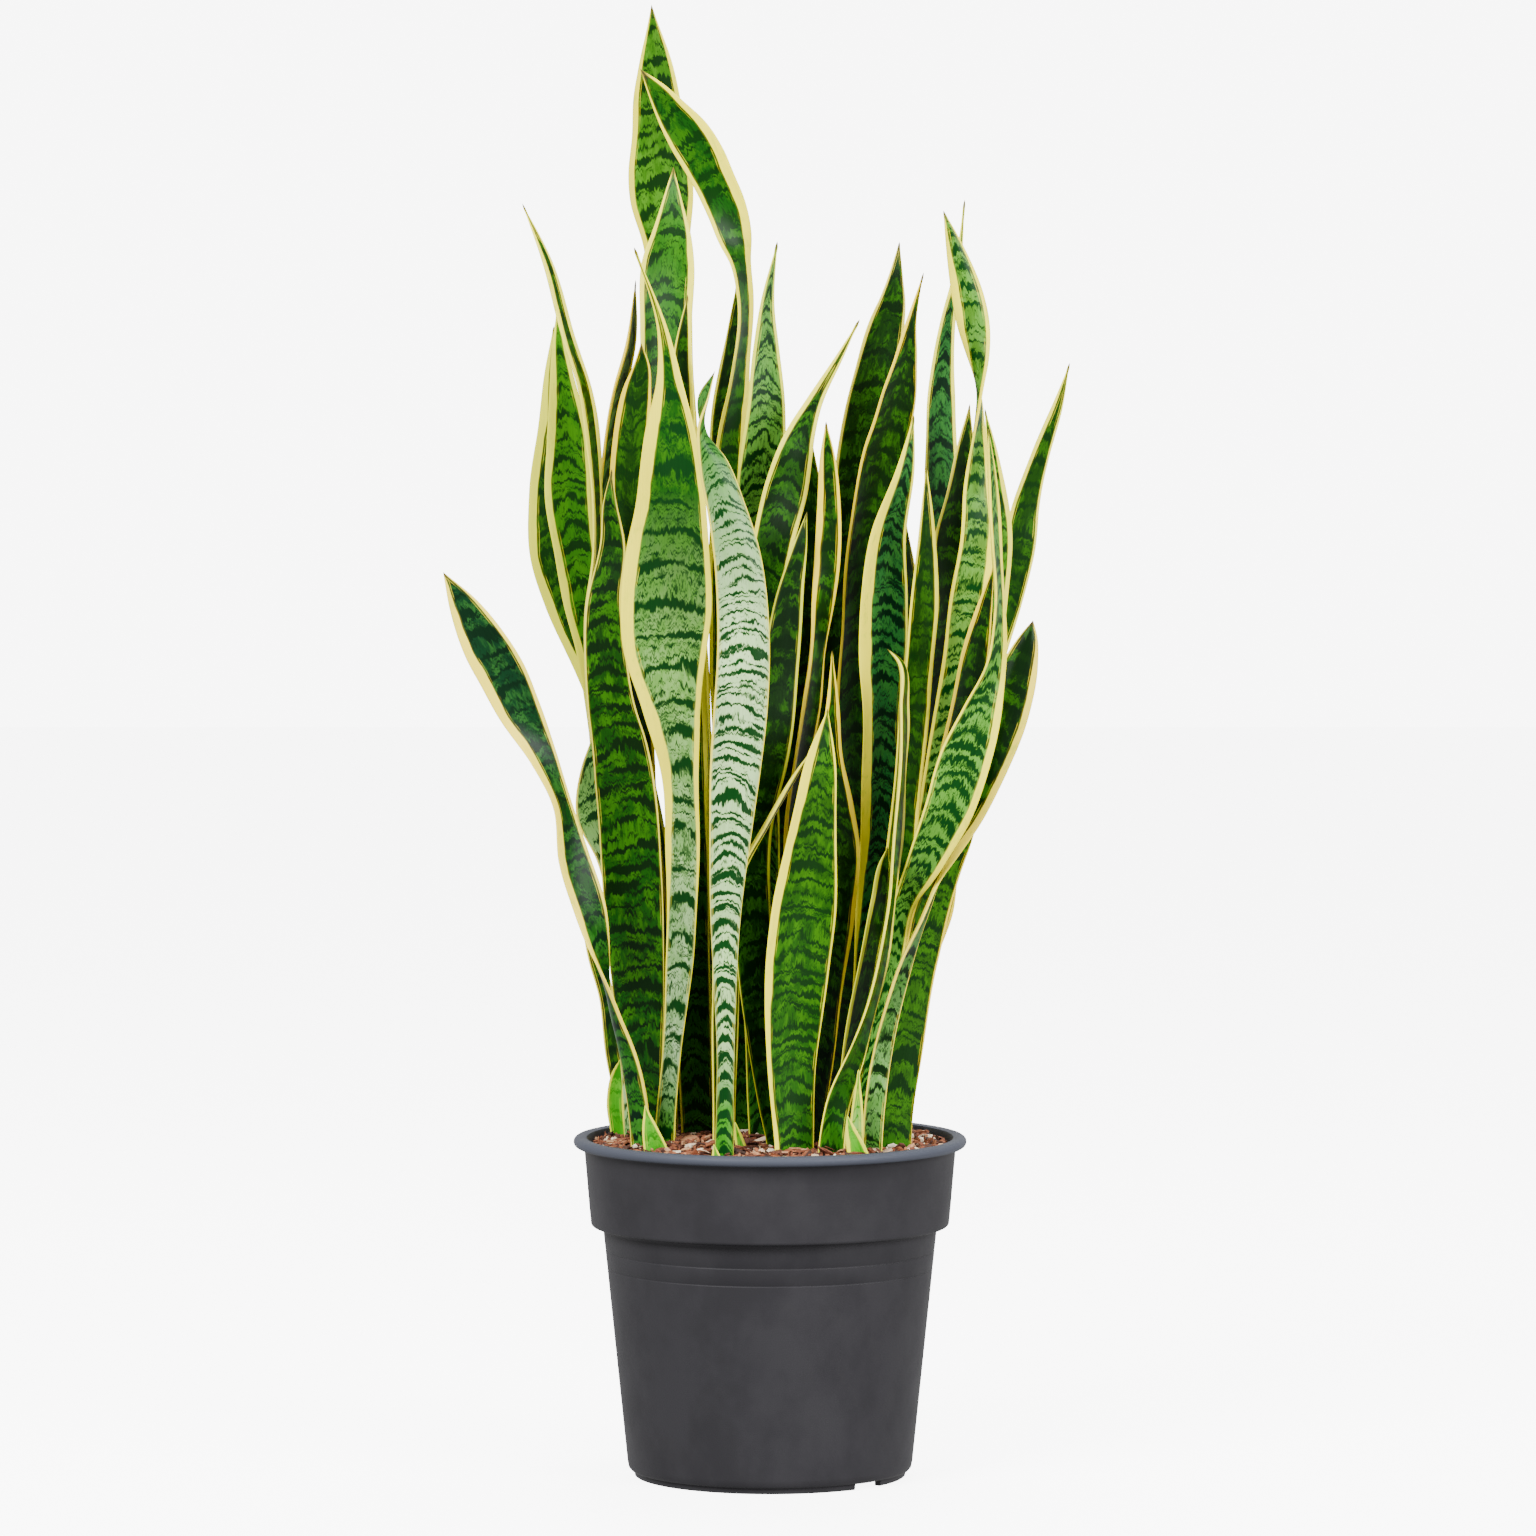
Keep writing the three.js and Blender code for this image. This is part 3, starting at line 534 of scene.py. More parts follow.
FINISHES: Dict[str, LeafFinish] = {
    "leaf_front_banded": replace(
        PALE, pitch=0.0125, arch=0.008, left=0.0012, right=0.0006, jag=0.0024, cover=0.50, fade=0.5,
        ragged=0.45, low_margin=0.1, band=leaf("1c5a26"), lines=0.72, stops=(0.10, 0.17, 0.68, 0.90),
        top=leaf("57924a"), middle=leaf("dbebd2"), speckle=0.25,
    ),
    "leaf_front_herringbone": replace(
        GREEN, pitch=0.010, chevron=0.006, arch=0, left=0.006, right=0.0014, low_margin=0.5, margin=BUTTER,
        top=leaf("4a7a14"), blotches=0.5,
    ),
    "leaf_front_speckled": replace(
        PALE, left=0.0085, right=0.0045, pitch=0.023, cover=0.24, low_margin=0.10, ragged=0.7, lines=0.5,
        stops=(0.05, 0.15, 0.53, 0.74), top=leaf("35741a"), middle=leaf("aacb8c"), low=leaf("c4d6be"),
        speckle=0.62, blotch=leaf("6aa42a"), margin=BUTTER, blotches=0.4,
    ),
    "leaf_right_edge_on": replace(GREEN, left=0.0025, right=0.004, margin=CREAM, pitch=0.014),
    "leaf_right_cream_edged": replace(
        PALE, left=0.0015, right=0.005, margin=BUTTER, pitch=0.011, cover=0.42, low_margin=0.15,
        low=leaf("79ab58"), middle=leaf("7caa52"), top=leaf("80b058"), jag=0.006, chevron=0.005, lines=0.7,
    ),
    "leaf_right_twisted_low": replace(
        DARK, left=0.004, right=0.0015, margin=PEACH, low_margin=0.3, low=leaf("9cc088"),
        middle=leaf("3f7a2c"),
    ),
    "leaf_right_olive": replace(
        GREEN, left=0.0015, right=0.0015, low=leaf("4a7a1c"), middle=leaf("4f7c1e"), top=leaf("4f7c1e"),
        blotches=0.55, margin=YELLOW,
    ),
    "leaf_right_olive_behind": replace(
        GREEN, left=0.0015, right=0.0015, low=leaf("4a7a1c"), middle=leaf("4f7c1e"), top=leaf("4f7c1e"),
        margin=YELLOW,
    ),
    "leaf_thin_crossing": replace(GREEN, left=0.004, right=0.004, margin=CREAM),
    "leaf_short_hooked": replace(DARK, left=0.003, right=0.0015, margin=LIME),
    "leaf_behind_herringbone": replace(
        DARK, left=0.002, right=0.0035, margin=YELLOW, pitch=0.011, chevron=0.005,
    ),
    "sheath_left": YOUNG,
    "sheath_front_small": YOUNG,
    "sheath_right": replace(YOUNG, left=0.003, right=0.002),
    "shoot_front_pale": replace(YOUNG, low=leaf("a4d070"), middle=leaf("a4d070")),
    "shoot_right_pale": replace(YOUNG, low=leaf("a8cf7a"), middle=leaf("b0d088")),
    "shoot_left_stub": YOUNG,
    "leaf_left_reaching": replace(
        BLUE, left=0.0025, right=0.0065, margin=PEACH, pitch=0.014, chevron=0, low_margin=0.22,
        low=leaf("3f7d2c"), middle=leaf("2b6422"), top=leaf("22553a"),
    ),
    "leaf_left_broad_dark": replace(
        DARK, left=0.0010, right=0.0012, blotches=0.75, pitch=0.014, low=leaf("2f6a24"),
        middle=leaf("357210"), top=leaf("2a5a14"),
    ),
    "leaf_left_pale_behind": replace(PALE, left=0.0015, right=0.0015),
    "leaf_left_low_dark": replace(DARK, left=0.0012, right=0.0012),
    "leaf_left_edge_on": replace(GREEN, left=0.0035, right=0.0045, margin=CREAM),
    "leaf_left_striped": replace(
        GREEN, left=0.005, right=0.003, margin=LIME, chevron=0.008, arch=0, pitch=0.015, blotches=0.5,
        middle=leaf("54961a"), top=leaf("4c8818"),
    ),
    "leaf_left_striped_behind": replace(
        GREEN, left=0.006, right=0.003, margin=LIME, chevron=0.008, arch=0, pitch=0.015,
    ),
    "leaf_left_rolled": replace(
        GREEN, left=0.003, right=0.003, low=leaf("6f9a5a"), middle=leaf("7a9a68"), top=leaf("6f8f60"),
        margin=YELLOW, chevron=0.008,
    ),
    "leaf_left_diagonal_bands": replace(
        GREEN, left=0.004, right=0.0025, margin=YELLOW, chevron=-0.010, arch=0, pitch=0.017,
    ),
    "leaf_centre_sway": replace(DARK, left=0.001, right=0.002, margin=LIME),
    "leaf_centre_narrow_dark": replace(DARK, left=0.002, right=0.003, margin=CREAM),
    "leaf_centre_leaning": replace(
        DARK, left=0.003, right=0.0028, margin=CREAM, middle=leaf("2f6414"), top=leaf("3a6a1c"),
        chevron=0.006,
    ),
    "leaf_centre_yellow_edged": replace(DARK, left=0.004, right=0.002, margin=YELLOW),
    "leaf_centre_bluish": replace(
        BLUE, left=0.0022, right=0.0022, margin=LIME, low=leaf("3f7c30"), middle=leaf("6f9a4c"),
        top=leaf("7aa357"), band=leaf("1d4a20"),
    ),
    "leaf_centre_chevron": replace(
        GREEN, left=0.0035, right=0.0045, margin=CREAM, chevron=0.009, arch=0, pitch=0.015,
        top=leaf("4c8a24"), middle=leaf("3f7f14"),
    ),
    "leaf_back_arching": replace(GREEN, left=0.003, right=0.0065, margin=BUTTER, top=leaf("2e6a1c")),
    "leaf_back_narrow_dark": replace(DARK, left=0.002, right=0.003, margin=CREAM),
    "leaf_back_tallest": replace(BRIGHT, left=0.005, right=0.005, margin=BUTTER, pitch=0.017),
    "leaf_back_centre_dark": DARK,
    "leaf_back_right_dark": DARK,
    "leaf_right_yellow_edged": replace(GREEN, left=0.0015, right=0.003, margin=BUTTER, pitch=0.012),
    "leaf_right_dark_low": replace(DARK, left=0.0028, right=0.0015, margin=YELLOW),
    "leaf_right_bluish": replace(BLUE, left=0.0095, right=0.0018, margin=BUTTER, low_margin=0.10),
    "leaf_right_pale_edged": replace(
        DARK, left=0.0025, right=0.0018, margin=YELLOW, chevron=0.006, middle=leaf("2f6a1c"),
    ),
    "leaf_right_mottled_twist": replace(
        PALE, left=0.0022, right=0.006, margin=BUTTER, low=leaf("8fb060"), middle=leaf("8cab5c"),
        top=leaf("6f9a3c"), pitch=0.012, blotches=0.4,
    ),
    "leaf_right_pale_green": replace(BRIGHT, left=0.002, right=0.004, margin=CREAM, middle=leaf("6fa84c")),
    "leaf_right_dark_upright": replace(DARK, left=0.0022, right=0.0022),
    "leaf_right_broad_dark": replace(
        DARK, left=0.0022, right=0.0022, pitch=0.018, middle=leaf("2b6012"), top=leaf("2a5812"),
    ),
    "leaf_right_bluish_tall": replace(BLUE, left=0.0022, right=0.003, margin=CREAM, pitch=0.018),
    "leaf_right_far": replace(GREEN, left=0.003, right=0.002, margin=CREAM),
}


class BladePattern:
    """The pattern that all blades share: torn cross bands, dashes, blotches, streaks and margins.

    Every mark follows one warped length along the blade. It is bent by an arch or a chevron, wanders
    slowly, and is torn into teeth by noise that changes quickly across the blade and slowly along it.
    """

    COLORS = ("Ground", "Band", "Blotch", "Margin", "Spot")
    NUMBERS = ("Pitch", "Arch", "Chevron", "Jag", "Cover", "Fade", "Lines", "Speckle", "Blotches",
               "Left", "Right", "Low Margin", "Ragged", "Seed")
    LINE_PITCH = 0.0078
    DASH_PITCH = 0.0034
    WANDER = 0.026
    WIDEST_MARGIN = 0.27  # of the blade's width
    PAINTED_GLINT_INSET = 0.0015
    DRY_TIP: Color = (0.035, 0.02, 0.012)

    def __init__(self) -> None:
        """Makes the node group, which puts out a colour, a roughness and a height."""
        inputs = [(n, "Color") for n in self.COLORS] + [(n, "Float") for n in self.NUMBERS]
        g, self.given, end = new_group("blade_pattern", inputs,
                                       [("Color", "Color"), ("Roughness", "Float"), ("Height", "Float")])
        self.graph = g
        self.x, self.v, _ = g.split(g.uv(BladeMap.SIZE))
        self.across, self.along, _ = g.split(g.uv(BladeMap.SHARE))
        self.teeth = g.less(self.cloudy(self.x, self.v, 420.0, 60.0, 3.0, 3.0, 0.75), 0.5)
        self.streaks = self.cloudy(self.x, self.v, 1500.0, 14.0, 2.0)
        cloud = self.cloudy(self.x, self.v, 24.0, 10.0, 1.0)

        # Streaks give real lengthwise tone. The cloudy factor is a painted highlight: it brightens some
        # patches of the blade and darkens others.
        light = g.times(g.scaled(self.streaks, 0.5, 0.75), g.scaled(cloud, 0.8, 0.6))
        color = g.mix(1.0, self.marks(), g.vector(light, light, light), Blend.MULTIPLY)
        dry = g.step(self.along, 0.985, 0.997)
        color = g.mix(g.times(dry, 0.85), self.margins(color), self.DRY_TIP)
        rough = g.add(g.add(g.scaled(cloud, 0.14, 0.22), g.times(dry, 0.3)), g.times(self.streaks, 0.08))
        g.put(end.inputs["Color"], color)
        g.put(end.inputs["Roughness"], rough)
        g.put(end.inputs["Height"], g.scaled(self.streaks, 0.5, g.times(cloud, 0.5)))

    def cloudy(self, a: Term, b: Term, scale_a: float, scale_b: float, offset: float = 0.0,
               detail: float = 2.0, roughness: float = 0.5) -> Socket:
        """Adds noise that has its own scale across and along the blade.

        Args:
            a: The place across.
            b: The place along.
            scale_a: How fine the noise is across.
            scale_b: How fine it is along.
            offset: Which noise it is, added to the blade's seed.
            detail: How many finer layers it has.
            roughness: How strong those layers are.

        Returns:
            The noise value socket.
        """
        g = self.graph
        place = g.vector(g.times(a, scale_a), g.times(b, scale_b), g.add(self.given["Seed"], offset))
        return g.noise(place, detail=detail, roughness=roughness)

    def stripes(self, turns: Socket, width: Socket, soft: float) -> Socket:
        """Draws a stripe along the middle of each whole turn.

        It is 1 where twice the distance from the turn's middle is under the width, and 0 past it.

        Args:
            turns: The place along, counted in turns.
            width: The stripe's width, as a share of a turn.
            soft: How far its edges fade.

        Returns:
            The mask socket.
        """
        g = self.graph
        apart = g.times(g.math(Op.ABSOLUTE, g.less(g.math(Op.FRACT, turns), 0.5)), 2.0)
        return g.step(apart, g.add(width, soft), g.less(width, soft))

    def marks(self) -> Socket:
        """Draws all that crosses the blade: bright blotches, fine dashes, zigzag lines and broad bands.

        Returns:
            The colour socket.
        """
        g, given, x, v = self.graph, self.given, self.x, self.v
        bend = g.add(g.times(g.times(self.across, self.across), given["Arch"]),
                     g.times(g.math(Op.ABSOLUTE, self.across), given["Chevron"]))
        wander = g.times(g.less(self.cloudy(x, v, 26.0, 30.0), 0.5), self.WANDER)
        torn = g.times(self.teeth, g.times(given["Jag"], 3.0))
        place = g.add(g.add(v, bend), g.add(wander, torn))

        # Broad dark bands, each with its own thickness and its own gaps.
        turns = g.math(Op.DIVIDE, place, given["Pitch"])
        uneven = g.less(self.cloudy(x, turns, 48.0, 0.9, 5.0, 3.0, 0.6), 0.5)
        thick = g.less(g.add(given["Cover"], g.times(uneven, g.times(given["Ragged"], 2.1))),
                       g.times(given["Fade"], self.along))
        bands = self.stripes(turns, thick, 0.07)

        # Thin zigzag lines, closer together.
        close = g.math(Op.DIVIDE, g.add(place, g.times(torn, 0.2)), self.LINE_PITCH)
        gaps = g.less(self.cloudy(x, close, 130.0, 0.9, 15.0, 3.0, 0.65), 0.5)
        slim = g.add(g.times(gaps, 1.8), g.scaled(given["Lines"], 0.42, -0.12))
        lines = self.stripes(close, slim, 0.12)

        # Fine broken dashes between them, denser in some places than in others.
        fine = g.math(Op.DIVIDE, g.add(place, g.times(torn, 0.4)), self.DASH_PITCH)
        broken = g.less(self.cloudy(x, fine, 380.0, 0.8, 7.0, 2.0, 0.6), 0.5)
        crowd = g.less(self.cloudy(x, v, 40.0, 42.0, 8.0), 0.5)
        length = g.add(g.times(broken, 3.2), g.scaled(crowd, 1.6, g.scaled(given["Speckle"], 0.9, -0.35)))
        dashes = g.times(self.stripes(fine, length, 0.18), 0.8)

        # Bright blotches with torn ends, under all of them.
        patches = g.step(self.cloudy(x, place, 105.0, 62.0, 9.0, 4.0, 0.65), 0.44, 0.58)
        color = g.mix(g.times(patches, given["Blotches"]), given["Ground"], given["Blotch"])
        color = g.mix(dashes, color, given["Band"])
        return g.mix(g.math(Op.MAXIMUM, bands, lines), color, given["Band"])

    def margins(self, color: Socket) -> Socket:
        """Draws the pale margins, narrow at the root and the tip, with a fringe and a fine painted glint
        line just inside each.

        Args:
            color: The colour inside them.

        Returns:
            The colour socket.
        """
        g, given, along = self.graph, self.given, self.along
        sides = g.split(g.uv(BladeMap.EDGE))[:2]
        loose = self.cloudy(self.across, self.v, 2.0, 28.0, 4.0)
        shift = g.add(g.scaled(loose, 0.7, 0.65), g.times(self.teeth, 0.12))
        growth = g.times(g.step(along, 0.22, 0.55), g.less(1.0, given["Low Margin"]))
        taper = g.times(g.scaled(g.step(along, 1.0, 0.90), 0.8, 0.2), g.add(given["Low Margin"], growth))
        widest = g.times(g.add(*sides), self.WIDEST_MARGIN)
        margins, fringes, lines = 0.0, 0.0, 0.0
        for distance, width in zip(sides, (given["Left"], given["Right"])):
            reach = g.math(Op.MINIMUM, g.times(g.times(width, shift), taper), widest)
            near = g.step(distance, g.add(reach, 0.0003), g.less(reach, 0.0001))
            fringe = g.step(distance, g.add(reach, 0.0014), g.add(reach, 0.0002))
            # The painted glint: a thin pale line a little inside each margin.
            apart = g.math(Op.ABSOLUTE, g.less(g.less(distance, reach), self.PAINTED_GLINT_INSET))
            margins = g.math(Op.MAXIMUM, margins, near)
            fringes = g.math(Op.MAXIMUM, fringes, fringe)
            lines = g.math(Op.MAXIMUM, lines, g.step(apart, 0.0003, 0.0001))
        color = g.mix(g.times(fringes, 0.4), color, g.mix(0.25, given["Ground"], given["Margin"]))
        # Break the painted glint line into patches and paint it in the margin colour.
        painted_glint_patches = g.step(self.cloudy(self.across, self.v, 1.0, 40.0, 6.0), 0.5, 0.62)
        color = g.mix(g.times(lines, g.times(painted_glint_patches, 0.4)), color, given["Margin"])
        stain = g.times(g.step(self.cloudy(self.x, self.v, 330.0, 110.0, 11.0, 3.0, 0.65), 0.5, 0.68), 0.6)
        stain = g.times(stain, g.step(self.cloudy(self.x, self.v, 8.0, 16.0, 12.0), 0.4, 0.6))
        dull = g.scaled(self.streaks, 0.2, 0.9)
        pale = g.mix(stain, given["Margin"], given["Spot"])
        pale = g.mix(1.0, pale, g.vector(dull, dull, dull), Blend.MULTIPLY)
        return g.mix(margins, color, pale)

    def material(self, name: str, finish: LeafFinish, seed: float) -> bpy.types.Material:
        """Makes one blade's material.

        Args:
            name: The blade's name.
            finish: Its colours and pattern.
            seed: Where in the noise the blade lies.

        Returns:
            The material.
        """
        material, g, shader = new_material("wax_" + name)
        _, along, _ = g.split(g.uv(BladeMap.SHARE))
        group = g.node("ShaderNodeGroup", node_tree=self.graph.tree)
        colors = zip(finish.stops, (finish.root, finish.low, finish.middle, finish.top))
        g.put(group.inputs["Ground"], g.ramp(along, list(colors)))
        g.put(group.inputs["Seed"], seed)
        for label in self.COLORS[1:] + self.NUMBERS[:-1]:
            g.put(group.inputs[label], getattr(finish, label.lower().replace(" ", "_")))
        g.put(shader.inputs["Base Color"], group.outputs["Color"])
        g.put(shader.inputs["Roughness"], group.outputs["Roughness"])
        g.put(shader.inputs["Normal"], g.bump(group.outputs["Height"], 0.25, 0.0004))
        shader.inputs["Specular IOR Level"].default_value = 0.10
        return material


# ---------------------------------------------------------------------------------------------
# Leaves
# ---------------------------------------------------------------------------------------------


@dataclass
class LeafBlade:
    """A smooth blade laid over the rings of a plain CAD leaf."""

    node: str
    source: bpy.types.Object
    seed: float
    spacing: float = 0.004
    columns: int = 28
    wave: float = 0.0007
    wave_length: float = 0.085
    point: float = 0.0011
    thinnest: float = 0.0004
    crowding: float = 1.15  # above 1, the rows lie closer together towards the tip

    def rings(self) -> Tuple[np.ndarray, np.ndarray]:
        """Sorts the CAD leaf's vertices into its rings of six.

        Vertices are walked outwards from the tip, which is the highest, one ring at a time.

        Returns:
            The rings from root to tip, each of six points, and the tip.
        """
        mesh = self.source.data
        places = np.empty(len(mesh.vertices) * 3)
        mesh.vertices.foreach_get("co", places)
        places = places.reshape(-1, 3)
        _, first, same = np.unique(np.round(places / 2e-5), axis=0, return_index=True, return_inverse=True)
        points = places[first]
        mesh.calc_loop_triangles()
        corners = np.empty(len(mesh.loop_triangles) * 3, dtype=np.int32)
        mesh.loop_triangles.foreach_get("vertices", corners)
        triangles = same.reshape(-1)[corners].reshape(-1, 3)
        joined = np.zeros((len(points), len(points)), dtype=bool)
        for a, b in ((0, 1), (1, 2), (2, 0)):
            joined[triangles[:, a], triangles[:, b]] = True
            joined[triangles[:, b], triangles[:, a]] = True
        tip = int(points[:, 2].argmax())
        seen = np.zeros(len(points), dtype=bool)
        front = seen.copy()
        front[tip] = True
        seen[tip] = True
        levels = []
        while True:
            front = joined[front].any(axis=0) & ~seen
            if not front.any():
                break
            seen |= front
            levels.append(points[front])
        counts = {len(level) for level in levels}
        if counts != {6}:
            raise ValueError(f"{self.node}: rings of {sorted(counts)} points")
        return np.array(levels[::-1]), points[tip]

    def sections(self) -> Tuple[np.ndarray, np.ndarray, np.ndarray, np.ndarray]:
        """Measures each ring: its middle, its half width as a vector, its channel and its thickness.

        The two points of a ring that are farthest apart are its edges. The channel is how far the
        four points between them stand off the line that joins them.

        Returns:
            The middles, the half-width vectors, the channels and the thicknesses, root to tip.
        """
        rings, tip = self.rings()
        gaps = np.linalg.norm(rings[:, :, None] - rings[:, None, :], axis=-1).reshape(len(rings), -1)
        pair = gaps.argmax(axis=1)
        rows = np.arange(len(rings))
        low, high = rings[rows, pair // 6], rings[rows, pair % 6]
        halves = (high - low) / 2
        middles = (high + low) / 2
        if halves[0, 0] < 0:
            halves[0] = -halves[0]
        turns = np.sign(np.einsum("ij,ij->i", halves[:-1], halves[1:]))
        turns[turns == 0] = 1
        # The first ring's sign is already right, so each later ring follows the one before it.
        signs = np.concatenate([[1.0], np.cumprod(turns)])
        halves = halves * signs[:, None]
        along = unit(np.gradient(np.vstack([middles, tip]), axis=0)[:-1])
        through = unit(np.cross(along, halves))
        offsets = np.einsum("ijk,ik->ij", rings - middles[:, None], through)
        order = np.sort(np.where(np.abs(np.einsum("ijk,ik->ij", rings - middles[:, None], unit(halves)))
                                 > 0.8 * np.linalg.norm(halves, axis=1)[:, None], np.nan, offsets), axis=1)
        front, back = order[:, :2].mean(axis=1), order[:, 2:4].mean(axis=1)
        middles = np.vstack([middles, tip])
        halves = np.vstack([halves, halves[-1] * 0.0])
        channels = np.append((front + back) / 2, 0.0)
        depths = np.append(back - front, 0.0)
        return middles, halves, channels, depths

    def at_vertices(self, grid: np.ndarray, rows: int) -> np.ndarray:
        """Gives each vertex its number, and the tip a zero."""
        return np.append(np.broadcast_to(grid, (rows, self.columns)).reshape(-1), 0.0)

    def build(self) -> bpy.types.Object:
        """Makes the blade.

        Each cross-section is a flattened ring: across it the surface follows a channel that is
        deepest in the middle, and its thickness falls to nothing at the edges.

        Returns:
            The blade's object.
        """
        middles, halves, channels, depths = self.sections()
        known = np.concatenate([[0.0], np.cumsum(np.linalg.norm(np.diff(middles, axis=0), axis=1))])
        count = max(12, int(known[-1] / self.spacing))
        wanted = known[-1] * (1 - (1 - np.linspace(0, 1, count)) ** self.crowding)
        packed = np.hstack([middles, halves, channels[:, None], depths[:, None]])
        rows = smooth_rows(known, packed, wanted)[:-1]
        centre, half, channel = rows[:, :3], rows[:, 3:6], rows[:, 6]
        depth = np.maximum(rows[:, 7], self.thinnest)
        distance = wanted[:-1]
        along = unit(np.gradient(centre, axis=0))
        through = unit(np.cross(along, half))
        width = np.linalg.norm(half, axis=1)
        stout = np.maximum(width, np.minimum(self.point, 0.25 * (known[-1] - distance) + 0.0002))
        half = half * (stout / np.maximum(width, 1e-6))[:, None]
        width = stout

        angle = np.linspace(0, 2 * math.pi, self.columns, endpoint=False)
        u, face = np.cos(angle), np.sin(angle)
        ripple = self.wave * np.sin(distance / self.wave_length * 2 * math.pi + self.seed)
        sway = ripple[:, None] * np.abs(u) ** 3 * np.sign(u) * np.clip(width / 0.012, 0, 1)[:, None]
        stand = channel[:, None] * (1 - u**2) / (1 - 0.45**2) + depth[:, None] / 2 * face + sway
        points = centre[:, None] + half[:, None] * u[None, :, None] + through[:, None] * stand[:, :, None]
        points = np.vstack([points.reshape(-1, 3), middles[-1]])

        n = len(distance)
        faces = grid_faces(n, self.columns)
        top, tip = (n - 1) * self.columns, n * self.columns
        faces += [[top + k, top + (k + 1) % self.columns, tip] for k in range(self.columns)]
        faces.append(list(range(self.columns))[::-1])
        lengths = self.at_vertices(distance[:, None], n)
        lengths[-1] = known[-1]
        layers = {
            BladeMap.SIZE.value: np.stack([self.at_vertices(u * width[:, None], n), lengths], axis=1),
            BladeMap.SHARE.value: np.stack([self.at_vertices(u, n), lengths / known[-1]], axis=1),
            BladeMap.EDGE.value: np.stack(
                [self.at_vertices((1 + side * u) * width[:, None], n) for side in (1, -1)], axis=1),
        }
        return mesh_object("blade_" + self.node, points, faces, layers)


# ---------------------------------------------------------------------------------------------
# Pot
# ---------------------------------------------------------------------------------------------


@dataclass
class NurseryPot:
    """The moulded pot, turned from one profile, with notches and drain holes cut through it."""

    rim_radius: float = 0.135
    height: float = 0.234
    lip_height: float = 0.007
    lip_width: float = 0.0074
    collar_height: float = 0.061
    collar_taper: float = 0.0045
    shoulder_step: float = 0.0085
    body_taper: float = 0.0165
    foot_height: float = 0.004
    foot_set_back: float = 0.005
    foot_width: float = 0.005
    wall: float = 0.0022
    floor: float = 0.003
    pad_radius: float = 0.014
    corner_hollow: float = 0.0026
    corner_round: float = 0.0024
    grooves: Tuple[float, ...] = (0.1560, 0.1440)
    groove_depth: float = 0.00045
    notch_width: float = 0.025
    notch_pitch: float = 95.0
    first_notch: float = 46.0
    notches: int = 3
    hole_radius: float = 0.005
    hole_circle: float = 0.062
    holes: int = 4
    segments: int = 160

    @property
    def collar_top(self) -> float:
        """Gives the collar's outside radius under the lip."""
        return self.rim_radius - self.lip_width

    @property
    def collar_foot(self) -> float:
        """Gives the collar's outside radius at its foot."""
        return self.collar_top - self.collar_taper

    @property
    def body_top(self) -> float:
        """Gives the body's outside radius under the shoulder."""
        return self.collar_foot - self.shoulder_step

    @property
    def body_foot(self) -> float:
        """Gives the body's outside radius at its foot."""
        return self.body_top - self.body_taper

    @property
    def shoulder(self) -> float:
        """Gives the shoulder's height."""
        return self.height - self.collar_height

    def body_radius(self, z: float) -> float:
        """Gives the body's outside radius at a height: a straight line from its foot to its top."""
        share = (z - self.foot_height - 0.006) / (self.shoulder - 0.003 - self.foot_height - 0.006)
        return self.body_foot + share * self.body_taper

    def profile(self) -> np.ndarray:
        """Lists the profile from the middle of the floor's underside, up outside and back inside.

        Returns:
            Radius and height pairs, in metres.
        """
        collar_top, collar_foot = self.collar_top, self.collar_foot
        body_top, body_foot, shoulder = self.body_top, self.body_foot, self.shoulder
        ring = body_foot - self.foot_set_back
        rows = [
            (0.0, 0.0), (self.pad_radius, 0.0), (self.pad_radius + 0.001, self.foot_height),
            (ring - self.foot_width, self.foot_height), (ring - self.foot_width, 0.0), (ring - 0.0006, 0.0),
            (ring, 0.0004), (ring + 0.0005, self.foot_height),
            (body_foot - 0.0022, self.foot_height + 0.0006), (body_foot - 0.0008, self.foot_height + 0.0022),
            (body_foot, self.foot_height + 0.006),
        ]
        for z in (0.03, 0.06, 0.09, 0.12):
            rows.append((self.body_radius(z), z))
        for z in sorted(self.grooves):
            for step, cut in ((-0.0009, 0.0), (-0.0003, 1.0), (0.0003, 1.0), (0.0009, 0.0)):
                rows.append((self.body_radius(z + step) - cut * self.groove_depth, z + step))
        top = shoulder - 0.003
        for turn in np.linspace(0, math.pi / 2, 6):
            # The inside corner where the body meets the shoulder.
            r = self.corner_hollow
            rows.append((body_top + r * (1 - math.cos(turn)), top - 0.0004 + r * math.sin(turn)))
        for turn in np.linspace(0, math.pi / 2, 6):
            # The rounded outside corner at the collar's foot.
            r = self.corner_round
            rows.append((collar_foot - r + r * math.sin(turn), shoulder + r - r * math.cos(turn) - 0.0004))
        for share in (0.25, 0.5, 0.75):
            z = shoulder + share * (self.collar_height - self.lip_height)
            rows.append((collar_foot + share * self.collar_taper, z))
        under = self.height - self.lip_height
        rows.append((collar_top, under - 0.0012))
        rows.append((collar_top + 0.0008, under - 0.0002))
        for turn in np.linspace(-math.pi / 2, math.pi / 2, 9):
            r = self.lip_height / 2
            rows.append((self.rim_radius - r + r * math.cos(turn), under + r + r * math.sin(turn)))
        rows.append((collar_top + 0.0010, self.height))
        rows.append((collar_top - self.wall + 0.0006, self.height - 0.0006))
        rows.append((collar_top - self.wall, self.height - 0.002))
        rows.append((collar_foot - self.wall, shoulder + 0.0034))
        rows.append((body_top - self.wall, shoulder - 0.0006))
        rows.append((body_foot - self.wall, self.foot_height + self.floor))
        rows.append((0.0, self.foot_height + self.floor))
        return np.array(rows)

